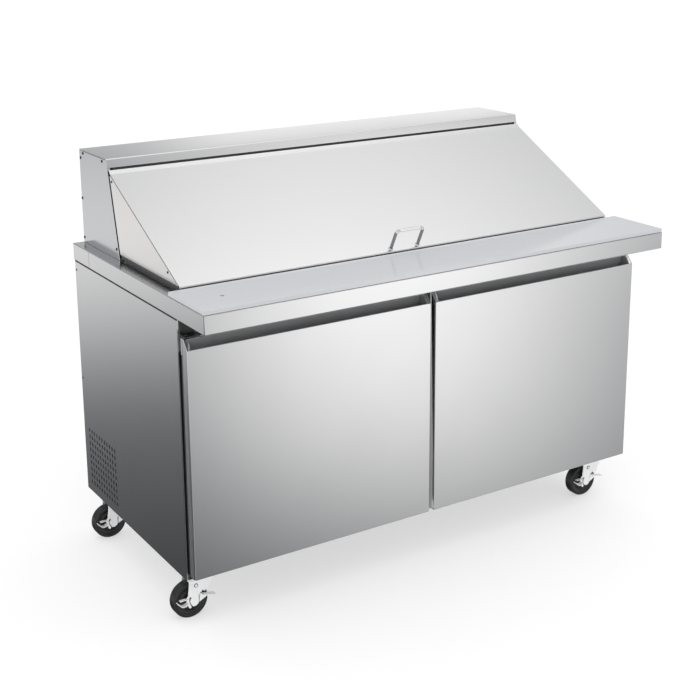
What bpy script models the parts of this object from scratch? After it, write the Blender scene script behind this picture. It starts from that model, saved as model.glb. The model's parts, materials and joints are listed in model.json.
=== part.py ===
"""Two-door refrigerated sandwich prep table on braked casters, in metres, +Z up.

Design coordinates: x from the middle of the worktop, y backwards from the worktop's front edge, z up from
the floor. place() moves them so that the object's origin is the bottom centre of its bounding box.
"""

import math

import bmesh
import bpy
from mathutils import Matrix, Vector

# ---------------------------------------------------------------- driving dimensions
SHEET = 0.0012  # stainless sheet
GAP = 0.0003  # between pieces that touch

TOP_WIDTH = 1.530
TOP_DEPTH = 0.864
TOP_Z = 0.908
TOP_SKIRT = 0.050
BOARD_DEPTH = 0.205
BOARD_THICK = 0.011
BOARD_HOLE = (-0.664, 0.100, 0.0055)  # x, y, radius

CAB_WIDTH = 1.524
CAB_FRONT = 0.163
CAB_BACK = 0.864
CAB_Z = 0.130
FRAME_DEEP = 0.020
OPENING_X = (0.046, 0.715)
OPENING_Z = (0.190, 0.774)
WALL = 0.0385  # insulated side wall
FLOOR_Z = 0.175
STEP_Y = 0.600  # front of the machine compartment
STEP_Z = 0.420  # its ceiling
REAR_COVER_Y = 0.8565

DOOR_FRONT = 0.113
DOOR_WRAP = 0.028  # depth of the folded steel edge
DOOR_REAR = 0.152
DOOR_Z = (0.152, 0.8115)
DOOR_EDGE = 0.760
DOOR_INNER = 0.0088
CHAMFER = (0.022, 0.0265)  # back, down
GRIP_END = 0.010
GRIP_BOTTOM = 0.766
HINGE_X = 0.746
HINGE_Y = 0.145
HINGE_PIN = 0.004
SEAL_INSET = 0.016
SEAL_WIDE = 0.016

COLLAR_X = 0.718
COLLAR_Y = (0.219, 0.790)
COLLAR_WALL = 0.018
COLLAR_TOP = 0.9247
WELL_X = 0.640
WELL_Y = (0.250, 0.758)
PAN_ROWS = {"front": 0.2395, "middle": 0.4160, "rear": 0.5925}
PAN_COUNT = 8
PAN_WIDE = 0.162
PAN_LONG = 0.176
PAN_RIM = 0.012
PAN_DEEP = 0.100

HOOD_HALF = 0.731
HOOD_WALL = 0.010
HOOD_BACK = 0.861
HOOD_TOP = 1.186
HOOD_FOOT_Y = 0.595
HOOD_NOSE_Y = 0.660
HOOD_FASCIA = 0.025
HOOD_SHEET = 0.0019
FASCIA_RETURN = 0.676

LID_HALF = 0.729
LID_HINGE = (0.648, 1.152)  # y, z of the lid's hinge axis
LID_NOSE = (0.209, 0.925)
LID_THICK = 0.0195
LID_SIDE_FOOT_Y = 0.5955
LID_SIDE_TOP = (0.6455, 1.1400)
KNUCKLE = 0.0028
HANDLE_X = -0.0285
HANDLE_WIDE = 0.091
HANDLE_TALL = 0.064
HANDLE_ROD = 0.0045
HANDLE_BEND = 0.010
HANDLE_UP = 0.010  # feet above the lid's front edge, along the slope

CASTER_X = 0.703
CASTER_Y = {"front": 0.210, "rear": 0.770}
TRAIL = 0.035
WHEEL_R = 0.0508
WHEEL_HALF = 0.016
AXLE_R = 0.006
CROWN_Z = 0.1115
LEG_IN = 0.0215
LEG_SHEET = 0.0025
BRAKE_Y = (-0.0205, -0.0180)

SHELF_Z = 0.460
SHELF_Y = (0.200, 0.700)
FAN_BLADES = 4

CAB_TOP = TOP_Z - TOP_SKIRT
SHIFT_X = (CASTER_X + TRAIL + WHEEL_R - TOP_WIDTH / 2) / 2
SHIFT_Y = TOP_DEPTH / 2
LID_LENGTH = math.dist(LID_HINGE, LID_NOSE)
LID_DIR = ((LID_NOSE[0] - LID_HINGE[0]) / LID_LENGTH, (LID_NOSE[1] - LID_HINGE[1]) / LID_LENGTH)
LID_OUT = (LID_DIR[1], -LID_DIR[0])  # unit normal of the lid's outer face, up and forwards


# ---------------------------------------------------------------- tools
def clear_scene():
    for obj in list(bpy.data.objects):
        bpy.data.objects.remove(obj, do_unlink=True)


def new_collection(name):
    made = bpy.data.collections.new(name)
    bpy.context.scene.collection.children.link(made)
    return made


def place(x, y, z):
    return Vector((x + SHIFT_X, y - SHIFT_Y, z))


def material(name, colour, roughness, metallic):
    made = bpy.data.materials.new(name)
    made.use_nodes = True
    shader = made.node_tree.nodes["Principled BSDF"]
    shader.inputs["Base Color"].default_value = (*colour, 1.0)
    shader.inputs["Roughness"].default_value = roughness
    shader.inputs["Metallic"].default_value = metallic
    return made


def add_object(name, mesh, location, finish=None):
    """A part when it has a finish, and otherwise a hidden tool for a Boolean."""
    obj = bpy.data.objects.new(name, mesh)
    obj.location = location
    if finish:
        parts.objects.link(obj)
        mesh.materials.clear()
        mesh.materials.append(finish)
    else:
        tools.objects.link(obj)
        obj.hide_render = True
        obj.display_type = "WIRE"
    return obj


def box(name, low, high, finish=None):
    """A block between two corners in design coordinates."""
    work = bmesh.new()
    bmesh.ops.create_cube(work, size=1.0)
    size = [b - a for a, b in zip(low, high)]
    bmesh.ops.scale(work, vec=size, verts=work.verts)
    mesh = bpy.data.meshes.new(name)
    work.to_mesh(mesh)
    work.free()
    middle = [(a + b) / 2 for a, b in zip(low, high)]
    return add_object(name, mesh, place(*middle), finish)


def drum(name, centre, radius, length, axis, finish=None, sides=24):
    """A cylinder about a line along X, Y or Z."""
    work = bmesh.new()
    bmesh.ops.create_cone(
        work, cap_ends=True, segments=sides, radius1=radius, radius2=radius, depth=length
    )
    turns = {"X": Matrix.Rotation(math.pi / 2, 3, "Y"), "Y": Matrix.Rotation(math.pi / 2, 3, "X")}
    if axis in turns:
        bmesh.ops.rotate(work, cent=(0, 0, 0), matrix=turns[axis], verts=work.verts)
    mesh = bpy.data.meshes.new(name)
    work.to_mesh(mesh)
    work.free()
    return add_object(name, mesh, place(*centre), finish)


def as_mesh(curve_object, name, finish=None):
    """The curve's evaluated shape as a welded mesh object in the same place."""
    bpy.context.view_layer.update()
    graph = bpy.context.evaluated_depsgraph_get()
    mesh = bpy.data.meshes.new_from_object(curve_object.evaluated_get(graph))
    work = bmesh.new()
    work.from_mesh(mesh)
    bmesh.ops.remove_doubles(work, verts=work.verts, dist=0.00001)
    bmesh.ops.recalc_face_normals(work, faces=work.faces)
    work.to_mesh(mesh)
    work.free()
    obj = add_object(name, mesh, (0, 0, 0), finish)
    obj.matrix_world = curve_object.matrix_world.copy()
    bpy.data.objects.remove(curve_object, do_unlink=True)
    obj.name = name
    return obj


def prism(name, axis, outline, low, high, finish=None, holes=()):
    """A flat outline pushed through from low to high along X, Y or Z, with holes right through it.

    The outline's points are (y, z) for X, (x, z) for Y and (x, y) for Z, in design coordinates.
    """
    curve = bpy.data.curves.new(name + "_outline", "CURVE")
    curve.dimensions = "2D"
    curve.fill_mode = "BOTH"
    curve.extrude = (high - low) / 2
    for loop in (outline, *holes):
        spline = curve.splines.new("POLY")
        spline.points.add(len(loop) - 1)
        for point, (u, v) in zip(spline.points, loop):
            point.co = (u, v, 0, 1)
        spline.use_cyclic_u = True
    obj = bpy.data.objects.new(name + "_outline", curve)
    tools.objects.link(obj)
    middle = (low + high) / 2
    frames = {
        "X": (Matrix(((0, 0, 1), (1, 0, 0), (0, 1, 0))), place(middle, 0, 0)),
        "Y": (Matrix(((1, 0, 0), (0, 0, -1), (0, 1, 0))), place(0, middle, 0)),
        "Z": (Matrix.Identity(3), place(0, 0, middle)),
    }
    turn, spot = frames[axis]
    obj.matrix_world = Matrix.Translation(spot) @ turn.to_4x4()
    return as_mesh(obj, name, finish)


def turned(name, profile, centre, axis, finish=None, steps=24):
    """A profile of (radius, height), top to bottom, turned about a line along Z, Y or X."""
    mesh = bpy.data.meshes.new(name)
    points = [(radius, 0, height) for radius, height in profile]
    edges = [(i, i + 1) for i in range(len(points) - 1)]
    if profile[0][0] > 0:
        edges.append((len(points) - 1, 0))
    mesh.from_pydata(points, edges, [])
    obj = add_object(name, mesh, place(*centre), finish)
    spin = obj.modifiers.new("turn", "SCREW")
    spin.steps = steps
    spin.render_steps = steps
    spin.use_merge_vertices = True
    spin.merge_threshold = 0.00001
    spin.use_smooth_shade = True
    if axis == "Y":
        obj.rotation_euler = (math.pi / 2, 0, 0)
    if axis == "X":
        obj.rotation_euler = (0, math.pi / 2, 0)
    return obj


def rod(name, points, radius, finish, bevel=3):
    """A round bar through points in design coordinates."""
    curve = bpy.data.curves.new(name, "CURVE")
    curve.dimensions = "3D"
    curve.bevel_depth = radius
    curve.bevel_resolution = bevel
    curve.use_fill_caps = True
    spline = curve.splines.new("POLY")
    spline.points.add(len(points) - 1)
    for point, spot in zip(spline.points, points):
        point.co = (*place(*spot), 1)
    obj = bpy.data.objects.new(name + "_path", curve)
    tools.objects.link(obj)
    return as_mesh(obj, name, finish)


def boolean(obj, other, operation):
    change = obj.modifiers.new(operation.lower() + "_" + other.name, "BOOLEAN")
    change.operation = operation
    change.object = other
    return obj


def cut(obj, *cutters):
    for cutter in cutters:
        boolean(obj, cutter, "DIFFERENCE")
    return obj


def join(obj, *others):
    for other in others:
        boolean(obj, other, "UNION")
    return obj


def soften(obj, width, segments=1):
    """Broken edges."""
    edge = obj.modifiers.new("edges", "BEVEL")
    edge.width = width
    edge.segments = segments
    edge.limit_method = "ANGLE"
    return obj


def pivot(name, x, y, z, *riders):
    """An empty on a joint's axis, with the pieces that move about it as its children."""
    empty = bpy.data.objects.new(name, None)
    empty.empty_display_size = 0.03
    empty.location = place(x, y, z)
    parts.objects.link(empty)
    bpy.context.view_layer.update()
    for rider in riders:
        spot = rider.matrix_world.copy()
        rider.parent = empty
        rider.matrix_parent_inverse = empty.matrix_world.inverted()
        rider.matrix_world = spot
    return empty


def rectangle(low_u, high_u, low_v, high_v):
    return [(low_u, low_v), (high_u, low_v), (high_u, high_v), (low_u, high_v)]


def arc(centre_u, centre_v, radius, start, end, count):
    """Points round a centre, angles in degrees."""
    angles = [math.radians(start + (end - start) * i / (count - 1)) for i in range(count)]
    return [(centre_u + radius * math.cos(a), centre_v + radius * math.sin(a)) for a in angles]


def on_lid(along, out):
    """(y, z) of a point a distance down the slope from the hinge and a height off the outer face."""
    return (
        LID_HINGE[0] + LID_DIR[0] * along + LID_OUT[0] * out,
        LID_HINGE[1] + LID_DIR[1] * along + LID_OUT[1] * out,
    )


# ---------------------------------------------------------------- scene and materials
clear_scene()
parts = new_collection("sandwich_prep_table")
tools = new_collection("cutters")

STEEL = material("brushed_stainless", (0.62, 0.62, 0.61), 0.32, 1.0)
BRIGHT = material("bright_stainless", (0.72, 0.72, 0.72), 0.22, 1.0)
ZINC = material("zinc_plate", (0.78, 0.79, 0.81), 0.30, 1.0)
BLACK = material("black_plastic", (0.03, 0.03, 0.03), 0.50, 0.0)
RUBBER = material("black_rubber", (0.02, 0.02, 0.02), 0.70, 0.0)
FOAM = material("lined_insulation", (0.80, 0.80, 0.80), 0.40, 0.0)
BOARD = material("board_plastic", (0.78, 0.80, 0.83), 0.25, 0.0)
COATED = material("coated_wire", (0.85, 0.85, 0.83), 0.45, 0.0)
CAST = material("black_enamel", (0.04, 0.04, 0.04), 0.40, 0.0)
FINS = material("aluminium_fins", (0.70, 0.71, 0.72), 0.35, 1.0)


# ---------------------------------------------------------------- cabinet
def vent_slots():
    """Punched slots in the left side, in front of the condenser."""
    columns, rows = 11, 9
    first_y, last_y = 0.630, 0.824
    first_z, last_z = 0.164, 0.332
    half_wide, half_tall = 0.0033, 0.0062
    slots = []
    for column in range(columns):
        y = first_y + (last_y - first_y) * column / (columns - 1)
        for row in range(rows):
            z = first_z + (last_z - first_z) * row / (rows - 1)
            slots.append(rectangle(y - half_wide, y + half_wide, z - half_tall, z + half_tall))
    return slots


def cabinet_side(name, side, slots):
    outer = side * CAB_WIDTH / 2
    inner = outer - side * SHEET
    outline = rectangle(CAB_FRONT, CAB_BACK, CAB_Z, CAB_TOP - GAP)
    prism(name, "X", outline, min(outer, inner), max(outer, inner), STEEL, slots)


def rear_louvres():
    wide, tall, count = 0.24, 0.008, 9
    slots = []
    for middle in (-0.36, 0.36):
        for row in range(count):
            z = 0.180 + 0.024 * row
            slots.append(rectangle(middle - wide / 2, middle + wide / 2, z, z + tall))
    return slots


def make_cabinet():
    inside = CAB_WIDTH / 2 - SHEET - GAP
    cabinet_side("left_side_panel", -1, vent_slots())
    cabinet_side("right_side_panel", 1, [])
    base_top = CAB_Z + 0.0022
    box("base_plate", (-inside, CAB_FRONT + GAP, CAB_Z), (inside, CAB_BACK - GAP, base_top), STEEL)
    back = (-inside, CAB_BACK - SHEET, STEP_Z + GAP), (inside, CAB_BACK, CAB_TOP - 2 * GAP)
    box("rear_panel", *back, STEEL)
    cover = rectangle(-inside, inside, base_top + GAP, STEP_Z - GAP)
    gland = arc(0.60, 0.28, 0.0085, 0, 330, 12)
    depth = REAR_COVER_Y, REAR_COVER_Y + SHEET
    prism("rear_machine_cover", "Y", cover, *depth, STEEL, [*rear_louvres(), gland])

    frame = rectangle(-inside, inside, base_top + GAP, CAB_TOP - 2 * GAP)
    doors = [
        rectangle(-OPENING_X[1], -OPENING_X[0], *OPENING_Z),
        rectangle(OPENING_X[0], OPENING_X[1], *OPENING_Z),
    ]
    prism("front_frame", "Y", frame, CAB_FRONT, CAB_FRONT + FRAME_DEEP, STEEL, doors)

    front = CAB_FRONT + FRAME_DEEP + GAP
    back_y = CAB_BACK - SHEET - GAP
    shell = [
        (front, base_top + GAP),
        (STEP_Y, base_top + GAP),
        (STEP_Y, STEP_Z),
        (back_y, STEP_Z),
        (back_y, CAB_TOP - 2 * GAP),
        (front, CAB_TOP - 2 * GAP),
    ]
    body = prism("insulated_liner", "X", shell, -inside, inside, FOAM)
    hollow_side = inside - WALL
    step_front = STEP_Y - 0.035
    step_top = STEP_Z + 0.035
    rear_wall = back_y - 0.040
    hollow = [
        (front - 0.01, FLOOR_Z),
        (step_front, FLOOR_Z),
        (step_front, step_top),
        (rear_wall, step_top),
        (rear_wall, CAB_TOP + 0.01),
        (front - 0.01, CAB_TOP + 0.01),
    ]
    cut(body, prism("liner_hollow", "X", hollow, -hollow_side, hollow_side))


def make_shelf(name, side):
    """A coated grid: a rim with bars from front to back."""
    low, high = sorted((side * 0.012, side * 0.710))
    rim, bars, bar = 0.008, 14, 0.005
    pitch = (high - low - 2 * rim + bar) / bars
    slots = []
    for index in range(bars):
        start = low + rim + pitch * index
        slots.append(rectangle(start, start + pitch - bar, SHELF_Y[0] + rim, SHELF_Y[1] - rim))
    outline = rectangle(low, high, *SHELF_Y)
    prism(name, "Z", outline, SHELF_Z, SHELF_Z + 0.006, COATED, slots)


# ---------------------------------------------------------------- worktop, pans and board
def make_worktop():
    """A folded tray, open below, with a cross web that closes the cold space over the front frame."""
    half = TOP_WIDTH / 2
    inner = half - SHEET
    top = box("worktop", (-half, 0, CAB_TOP), (half, TOP_DEPTH, TOP_Z), STEEL)
    roof = TOP_Z - SHEET
    web = CAB_FRONT + SHEET
    nose_hollow = box(
        "worktop_nose_hollow", (-inner, SHEET, CAB_TOP - 0.01), (inner, CAB_FRONT, roof)
    )
    hollow = box(
        "worktop_hollow", (-inner, web, CAB_TOP - 0.01), (inner, TOP_DEPTH - SHEET, roof)
    )
    well = box("worktop_well", (-WELL_X, WELL_Y[0], CAB_TOP), (WELL_X, WELL_Y[1], TOP_Z + 0.01))
    cut(top, nose_hollow, hollow, well)


def make_collar():
    outer = rectangle(-COLLAR_X, COLLAR_X, *COLLAR_Y)
    wall = COLLAR_WALL
    inner = rectangle(-COLLAR_X + wall, COLLAR_X - wall, COLLAR_Y[0] + wall, COLLAR_Y[1] - wall)
    prism("pan_well_collar", "Z", outer, TOP_Z + GAP, COLLAR_TOP, BLACK, [inner])


def make_pan_row(name, front):
    """Eight sixth-size pans side by side, their rims joined: a grid of cells pressed down and thickened."""
    work = bmesh.new()
    bmesh.ops.create_grid(work, x_segments=PAN_COUNT, y_segments=1, size=0.5)
    bmesh.ops.scale(work, vec=(PAN_COUNT * PAN_WIDE, PAN_LONG, 1), verts=work.verts)
    cells = bmesh.ops.inset_individual(
        work, faces=work.faces[:], thickness=PAN_RIM, use_even_offset=True
    )
    rims = set(cells["faces"])
    mouths = [face for face in work.faces if face not in rims]
    for mouth in mouths:
        pressed = bmesh.ops.extrude_discrete_faces(work, faces=[mouth])["faces"][0]
        middle = pressed.calc_center_median()
        wall_edges = pressed.verts[:]
        bmesh.ops.scale(
            work, vec=(0.86, 0.88, 1), verts=wall_edges, space=Matrix.Translation(-middle)
        )
        bmesh.ops.translate(work, vec=(0, 0, -PAN_DEEP), verts=wall_edges)
    mesh = bpy.data.meshes.new(name)
    bmesh.ops.recalc_face_normals(work, faces=work.faces)
    work.to_mesh(mesh)
    work.free()
    seat = place(0, front + PAN_LONG / 2, TOP_Z + 4 * GAP)
    obj = add_object(name, mesh, seat, BRIGHT)
    skin = obj.modifiers.new("skin", "SOLIDIFY")
    skin.thickness = 0.0008
    skin.offset = 0


def make_board():
    half = TOP_WIDTH / 2
    low = (-half, 0, TOP_Z + GAP)
    board = box("cutting_board", low, (half, BOARD_DEPTH, TOP_Z + BOARD_THICK), BOARD)
    soften(board, 0.0012)
    x, y, radius = BOARD_HOLE
    cut(board, drum("board_hole", (x, y, TOP_Z), radius, 0.05, "Z", sides=16))


# ---------------------------------------------------------------- hood
def hood_edge_y(z):
    """The hood's slanted front edge."""
    slope = (HOOD_NOSE_Y - HOOD_FOOT_Y) / (HOOD_TOP - TOP_Z)
    return HOOD_FOOT_Y + (z - TOP_Z) * slope


def make_hood():
    under = HOOD_TOP - HOOD_SHEET - GAP
    lip = HOOD_TOP - HOOD_FASCIA - 2 * GAP
    side = [
        (hood_edge_y(TOP_Z + GAP), TOP_Z + GAP),
        (HOOD_BACK, TOP_Z + GAP),
        (HOOD_BACK, under),
        (FASCIA_RETURN + GAP, under),
        (FASCIA_RETURN + GAP, lip),
        (hood_edge_y(lip), lip),
    ]
    prism("hood_left_side", "X", side, -HOOD_HALF, -HOOD_HALF + HOOD_WALL, STEEL)
    prism("hood_right_side", "X", side, HOOD_HALF - HOOD_WALL, HOOD_HALF, STEEL)
    between = HOOD_HALF - HOOD_WALL - GAP
    back = (-between, HOOD_BACK - SHEET, TOP_Z + GAP), (between, HOOD_BACK, under)
    box("hood_rear_panel", *back, STEEL)

    low = HOOD_TOP - HOOD_FASCIA
    sheet = HOOD_SHEET
    cap = [
        (HOOD_BACK, HOOD_TOP),
        (HOOD_NOSE_Y, HOOD_TOP),
        (hood_edge_y(low), low),
        (FASCIA_RETURN, low),
        (FASCIA_RETURN, low + sheet),
        (hood_edge_y(low + sheet) + sheet, low + sheet),
        (HOOD_NOSE_Y + sheet - 0.0005, HOOD_TOP - sheet),
        (HOOD_BACK, HOOD_TOP - sheet),
    ]
    prism("hood_top_shelf", "X", cap, -HOOD_HALF, HOOD_HALF, STEEL)

    y, z = LID_HINGE
    leaf_top = low - GAP
    knuckle = arc(y, z, KNUCKLE, 12, -282, 13)
    leaf = [
        (y + 0.0085, leaf_top),
        (FASCIA_RETURN - 0.002, leaf_top),
        (FASCIA_RETURN - 0.002, leaf_top - 0.0015),
        (y + 0.0095, leaf_top - 0.0015),
    ]
    prism("lid_hinge", "X", [*leaf, *knuckle], -0.715, 0.715, STEEL)


# ---------------------------------------------------------------- lid
def make_lid():
    start, end = 0.005, LID_LENGTH
    sheet = [
        on_lid(start, 0),
        on_lid(end, 0),
        on_lid(end - 0.0006, -SHEET),
        on_lid(start, -SHEET),
    ]
    panel = prism("lid_panel", "X", sheet, -LID_HALF, LID_HALF, STEEL)

    foot = LID_NOSE[1] + 2 * GAP
    side = [
        on_lid(end - 0.0045, -SHEET - GAP),
        (LID_SIDE_FOOT_Y, foot),
        LID_SIDE_TOP,
        on_lid(0.014, -SHEET - GAP),
    ]
    left = prism("lid_left_side", "X", side, -LID_HALF, -LID_HALF + SHEET, STEEL)
    right = prism("lid_right_side", "X", side, LID_HALF - SHEET, LID_HALF, STEEL)

    depth = LID_THICK
    reach = (LID_HINGE[1] - depth * LID_OUT[1] - foot) / -LID_DIR[1]
    liner = [
        on_lid(0.014, -SHEET - GAP),
        on_lid(end - 0.008, -SHEET - GAP),
        (on_lid(end - 0.008, -SHEET - GAP)[0] + 0.002, foot),
        on_lid(reach, -depth),
        on_lid(0.014, -depth),
    ]
    inner = prism("lid_liner", "X", liner, -0.715, 0.715, FOAM)

    foot_along = LID_LENGTH - HANDLE_UP
    half = HANDLE_WIDE / 2
    bend = HANDLE_BEND
    rise = [(half, GAP), (half, HANDLE_TALL - bend)]
    corner = arc(half - bend, HANDLE_TALL - bend, bend, 0, 90, 5)[1:]
    right_half = [*rise, *corner]
    left_half = [(-across, out) for across, out in reversed(right_half)]
    path = []
    for across, out in [*right_half, *left_half]:
        path.append((HANDLE_X + across, *on_lid(foot_along, out)))
    handle = rod("lid_handle", path, HANDLE_ROD, BRIGHT)
    pivot("lid_pivot", 0, *LID_HINGE, panel, left, right, inner, handle)


# ---------------------------------------------------------------- doors
def make_door(hand, side):
    """One door. side is -1 for the left door, whose hinge is on its left edge."""

    def span(edge_in, edge_out):
        """Low and high x of the door, each edge moved in by an amount."""
        return sorted((side * (DOOR_INNER + edge_in), side * (DOOR_EDGE - edge_out)))

    bottom, top = DOOR_Z
    wrap = DOOR_FRONT + DOOR_WRAP
    back, down = CHAMFER
    outer = [
        (DOOR_FRONT, bottom),
        (wrap, bottom),
        (wrap, top),
        (DOOR_FRONT + back, top),
        (DOOR_FRONT, top - down),
    ]
    skin = prism(f"{hand}_door_skin", "X", outer, *span(0, 0), STEEL)
    inner = [
        (DOOR_FRONT + SHEET, bottom + SHEET),
        (wrap + 0.01, bottom + SHEET),
        (wrap + 0.01, top - SHEET),
        (DOOR_FRONT + back + 0.0006, top - SHEET),
        (DOOR_FRONT + SHEET, top - down - 0.0006),
    ]
    hollow = prism(f"{hand}_skin_hollow", "X", inner, *span(SHEET, SHEET))
    slope = down / back
    lip = 0.001
    mouth = [
        (DOOR_FRONT - 0.01, top - down + lip),
        (DOOR_FRONT + SHEET + 0.002, top - down + lip),
        (DOOR_FRONT + back + 0.0006, top - SHEET - lip),
        (DOOR_FRONT + back - 0.004, top + 0.01),
        (DOOR_FRONT - 0.01, top + 0.01),
    ]
    window = prism(f"{hand}_grip_window", "X", mouth, *span(GRIP_END, GRIP_END))
    cut(skin, hollow, window)

    edge = SHEET + GAP
    front = DOOR_FRONT + edge
    roof = top - edge
    channel_outer = [
        (front, GRIP_BOTTOM),
        (DOOR_REAR, GRIP_BOTTOM),
        (DOOR_REAR, roof),
        (DOOR_FRONT + back + 0.001, roof),
        (front, top - down - 0.001),
    ]
    grip = prism(f"{hand}_door_grip", "X", channel_outer, *span(edge, edge), BLACK)
    wall = 0.0018
    channel_inner = [
        (front + wall, GRIP_BOTTOM + wall),
        (DOOR_REAR - wall, GRIP_BOTTOM + wall),
        (DOOR_REAR - wall, roof - 0.0022),
        (DOOR_FRONT + back, roof - 0.0022),
        (DOOR_FRONT + back - 0.012, roof + 0.006),
        (DOOR_FRONT - 0.008, roof + 0.006),
        (DOOR_FRONT - 0.008, top - down + lip + slope * 0.001),
        (front + wall, top - down + lip + slope * 0.001),
    ]
    channel = prism(f"{hand}_grip_hollow", "X", channel_inner, *span(GRIP_END, GRIP_END))
    cut(grip, channel)

    core_low = (span(edge, edge)[0], front, bottom + edge)
    core_high = (span(edge, edge)[1], DOOR_REAR, GRIP_BOTTOM - GAP)
    core = box(f"{hand}_door_core", core_low, core_high, BLACK)

    pin_spot = (side * HINGE_X, HINGE_Y)
    bore = HINGE_PIN + 0.0006
    low_bore = drum(f"{hand}_low_bore", (*pin_spot, bottom + 0.005), bore, 0.03, "Z", sides=16)
    high_bore = drum(f"{hand}_high_bore", (*pin_spot, top), bore, 0.02, "Z", sides=16)
    cut(skin, low_bore, high_bore)
    cut(grip, high_bore)
    cut(core, low_bore)

    seal_outer = rectangle(
        *span(SEAL_INSET, SEAL_INSET), bottom + SEAL_INSET, top - SEAL_INSET
    )
    inset = SEAL_INSET + SEAL_WIDE
    seal_inner = rectangle(*span(inset, inset), bottom + inset, top - inset)
    seal_y = DOOR_REAR + GAP, CAB_FRONT - GAP
    seal = prism(f"{hand}_door_gasket", "Y", seal_outer, *seal_y, RUBBER, [seal_inner])
    pivot(f"{hand}_door_pivot", *pin_spot, bottom, skin, grip, core, seal)
    make_door_hinges(hand, side, pin_spot)


def make_door_hinges(hand, side, pin_spot):
    """The brackets that hold a door's pins: a leaf on the frame and an arm over or under the door."""
    low_x, high_x = sorted((side * 0.757, side * 0.715))
    leaf_y = CAB_FRONT - 0.0025
    nose_y = HINGE_Y - 0.016
    sheet = 0.003
    frame_y = CAB_FRONT - GAP
    top = DOOR_Z[1] + 0.003
    upper = [
        (nose_y, top),
        (frame_y, top),
        (frame_y, CAB_TOP - 0.006),
        (leaf_y, CAB_TOP - 0.006),
        (leaf_y, top + sheet),
        (nose_y, top + sheet),
    ]
    bracket = prism(f"{hand}_top_hinge", "X", upper, low_x, high_x, BLACK)
    pin_low = DOOR_Z[1] - 0.0034
    pin_length = top + sheet / 2 - pin_low
    pin_centre = (*pin_spot, pin_low + pin_length / 2)
    join(bracket, drum(f"{hand}_top_pin", pin_centre, HINGE_PIN, pin_length, "Z", sides=16))

    arm = DOOR_Z[0] - 0.003
    lower = [
        (nose_y, arm - sheet),
        (frame_y - 0.006, arm - sheet),
        (frame_y - 0.006, CAB_Z + 0.003),
        (frame_y, CAB_Z + 0.003),
        (frame_y, arm),
        (nose_y, arm),
    ]
    bracket = prism(f"{hand}_bottom_hinge", "X", lower, low_x, high_x, BLACK)
    pin_high = DOOR_Z[0] + 0.014
    pin_length = pin_high - arm + sheet / 2
    pin_centre = (*pin_spot, pin_high - pin_length / 2)
    join(bracket, drum(f"{hand}_bottom_pin", pin_centre, HINGE_PIN, pin_length, "Z", sides=16))


# ---------------------------------------------------------------- casters
def caster_plate(name, x, y):
    """The fixed half: bolted plate, upper ball race and king pin with its riveted head."""
    seat = CAB_Z - GAP
    plate = box(name, (x - 0.046, y - 0.036, seat - 0.003), (x + 0.046, y + 0.036, seat), ZINC)
    head, neck = 0.0098, 0.0060
    profile = [
        (0, seat - 0.001),
        (0.030, seat - 0.001),
        (0.030, CROWN_Z + 0.0075),
        (0.026, CROWN_Z + 0.0050),
        (0.014, CROWN_Z + 0.0050),
        (0.014, CROWN_Z + 0.0012),
        (neck, CROWN_Z + 0.0012),
        (neck, CROWN_Z - 0.0034),
        (head, CROWN_Z - 0.0034),
        (head, CROWN_Z - 0.0060),
        (0, CROWN_Z - 0.0070),
    ]
    join(plate, turned(name + "_race", profile, (x, y, 0), "Z", steps=16))


def caster_fork(name, x, y):
    """Stamped fork: crown with the lower race, two legs, a web behind the crown and the riveted axle."""
    wheel_x = x - TRAIL
    outer = LEG_IN + LEG_SHEET
    crown_low = CROWN_Z - 0.003
    tuck = 0.0004
    crown_x = wheel_x - 0.008 + tuck, wheel_x + 0.061 - tuck
    crown_outline = rectangle(*crown_x, y - outer + tuck, y + outer - tuck)
    hole = arc(x, y, 0.0070, 0, 330, 12)
    crown = prism(name, "Z", crown_outline, crown_low, CROWN_Z, ZINC, [hole])
    axle_z = WHEEL_R
    leg = [
        *arc(0.003, -0.002, 0.0150, 195, 345, 7),
        (0.018, 0.018),
        (0.030, 0.028),
        (0.048, 0.034),
        (0.058, 0.046),
        (0.061, CROWN_Z - axle_z - tuck),
        (-0.008, CROWN_Z - axle_z - tuck),
        (-0.011, 0.020),
    ]
    leg = [(wheel_x + u, axle_z + v) for u, v in leg]
    front = prism(name + "_front_leg", "Y", leg, y - outer, y - LEG_IN)
    rear = prism(name + "_rear_leg", "Y", leg, y + LEG_IN, y + outer)
    web_x = crown_x[1] - tuck
    web_low = (web_x - LEG_SHEET, y - outer + 0.001, 0.0970)
    web = box(name + "_web", web_low, (web_x, y + outer - 0.001, CROWN_Z - 2 * tuck))
    race = [
        (0.031, CROWN_Z + 0.0032),
        (0.031, CROWN_Z - 0.001),
        (0.018, CROWN_Z - 0.001),
        (0.018, CROWN_Z + 0.0032),
    ]
    lower_race = turned(name + "_race", race, (x, y, 0), "Z", steps=16)
    axle_length = 2 * (outer + 0.0055)
    axle = drum(name + "_axle", (wheel_x, y, axle_z), AXLE_R, axle_length - 0.006, "Y", sides=12)
    heads = []
    for end in (-1, 1):
        spot = (wheel_x, y + end * (outer + 0.0020), axle_z)
        heads.append(drum(f"{name}_head_{end + 1}", spot, 0.0088, 0.0045, "Y", sides=8))
    join(crown, front, rear, web, lower_race, axle, *heads)
    return crown


def caster_wheel(name, x, y):
    """Tyre, stepped cheeks and hub in one moulding, turned about its bore."""
    bore = AXLE_R + 0.00017
    half = WHEEL_HALF
    one_side = [
        (WHEEL_R, half - 0.0035),
        (WHEEL_R - 0.003, half - 0.0005),
        (0.0400, half - 0.0005),
        (0.0370, half - 0.0050),
        (0.0150, half - 0.0060),
        (0.0130, half),
    ]
    profile = [(bore, half), *reversed(one_side), *[(r, -h) for r, h in one_side], (bore, -half)]
    return turned(name, profile, (x - TRAIL, y, WHEEL_R), "Y", BLACK, steps=24)


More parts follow.
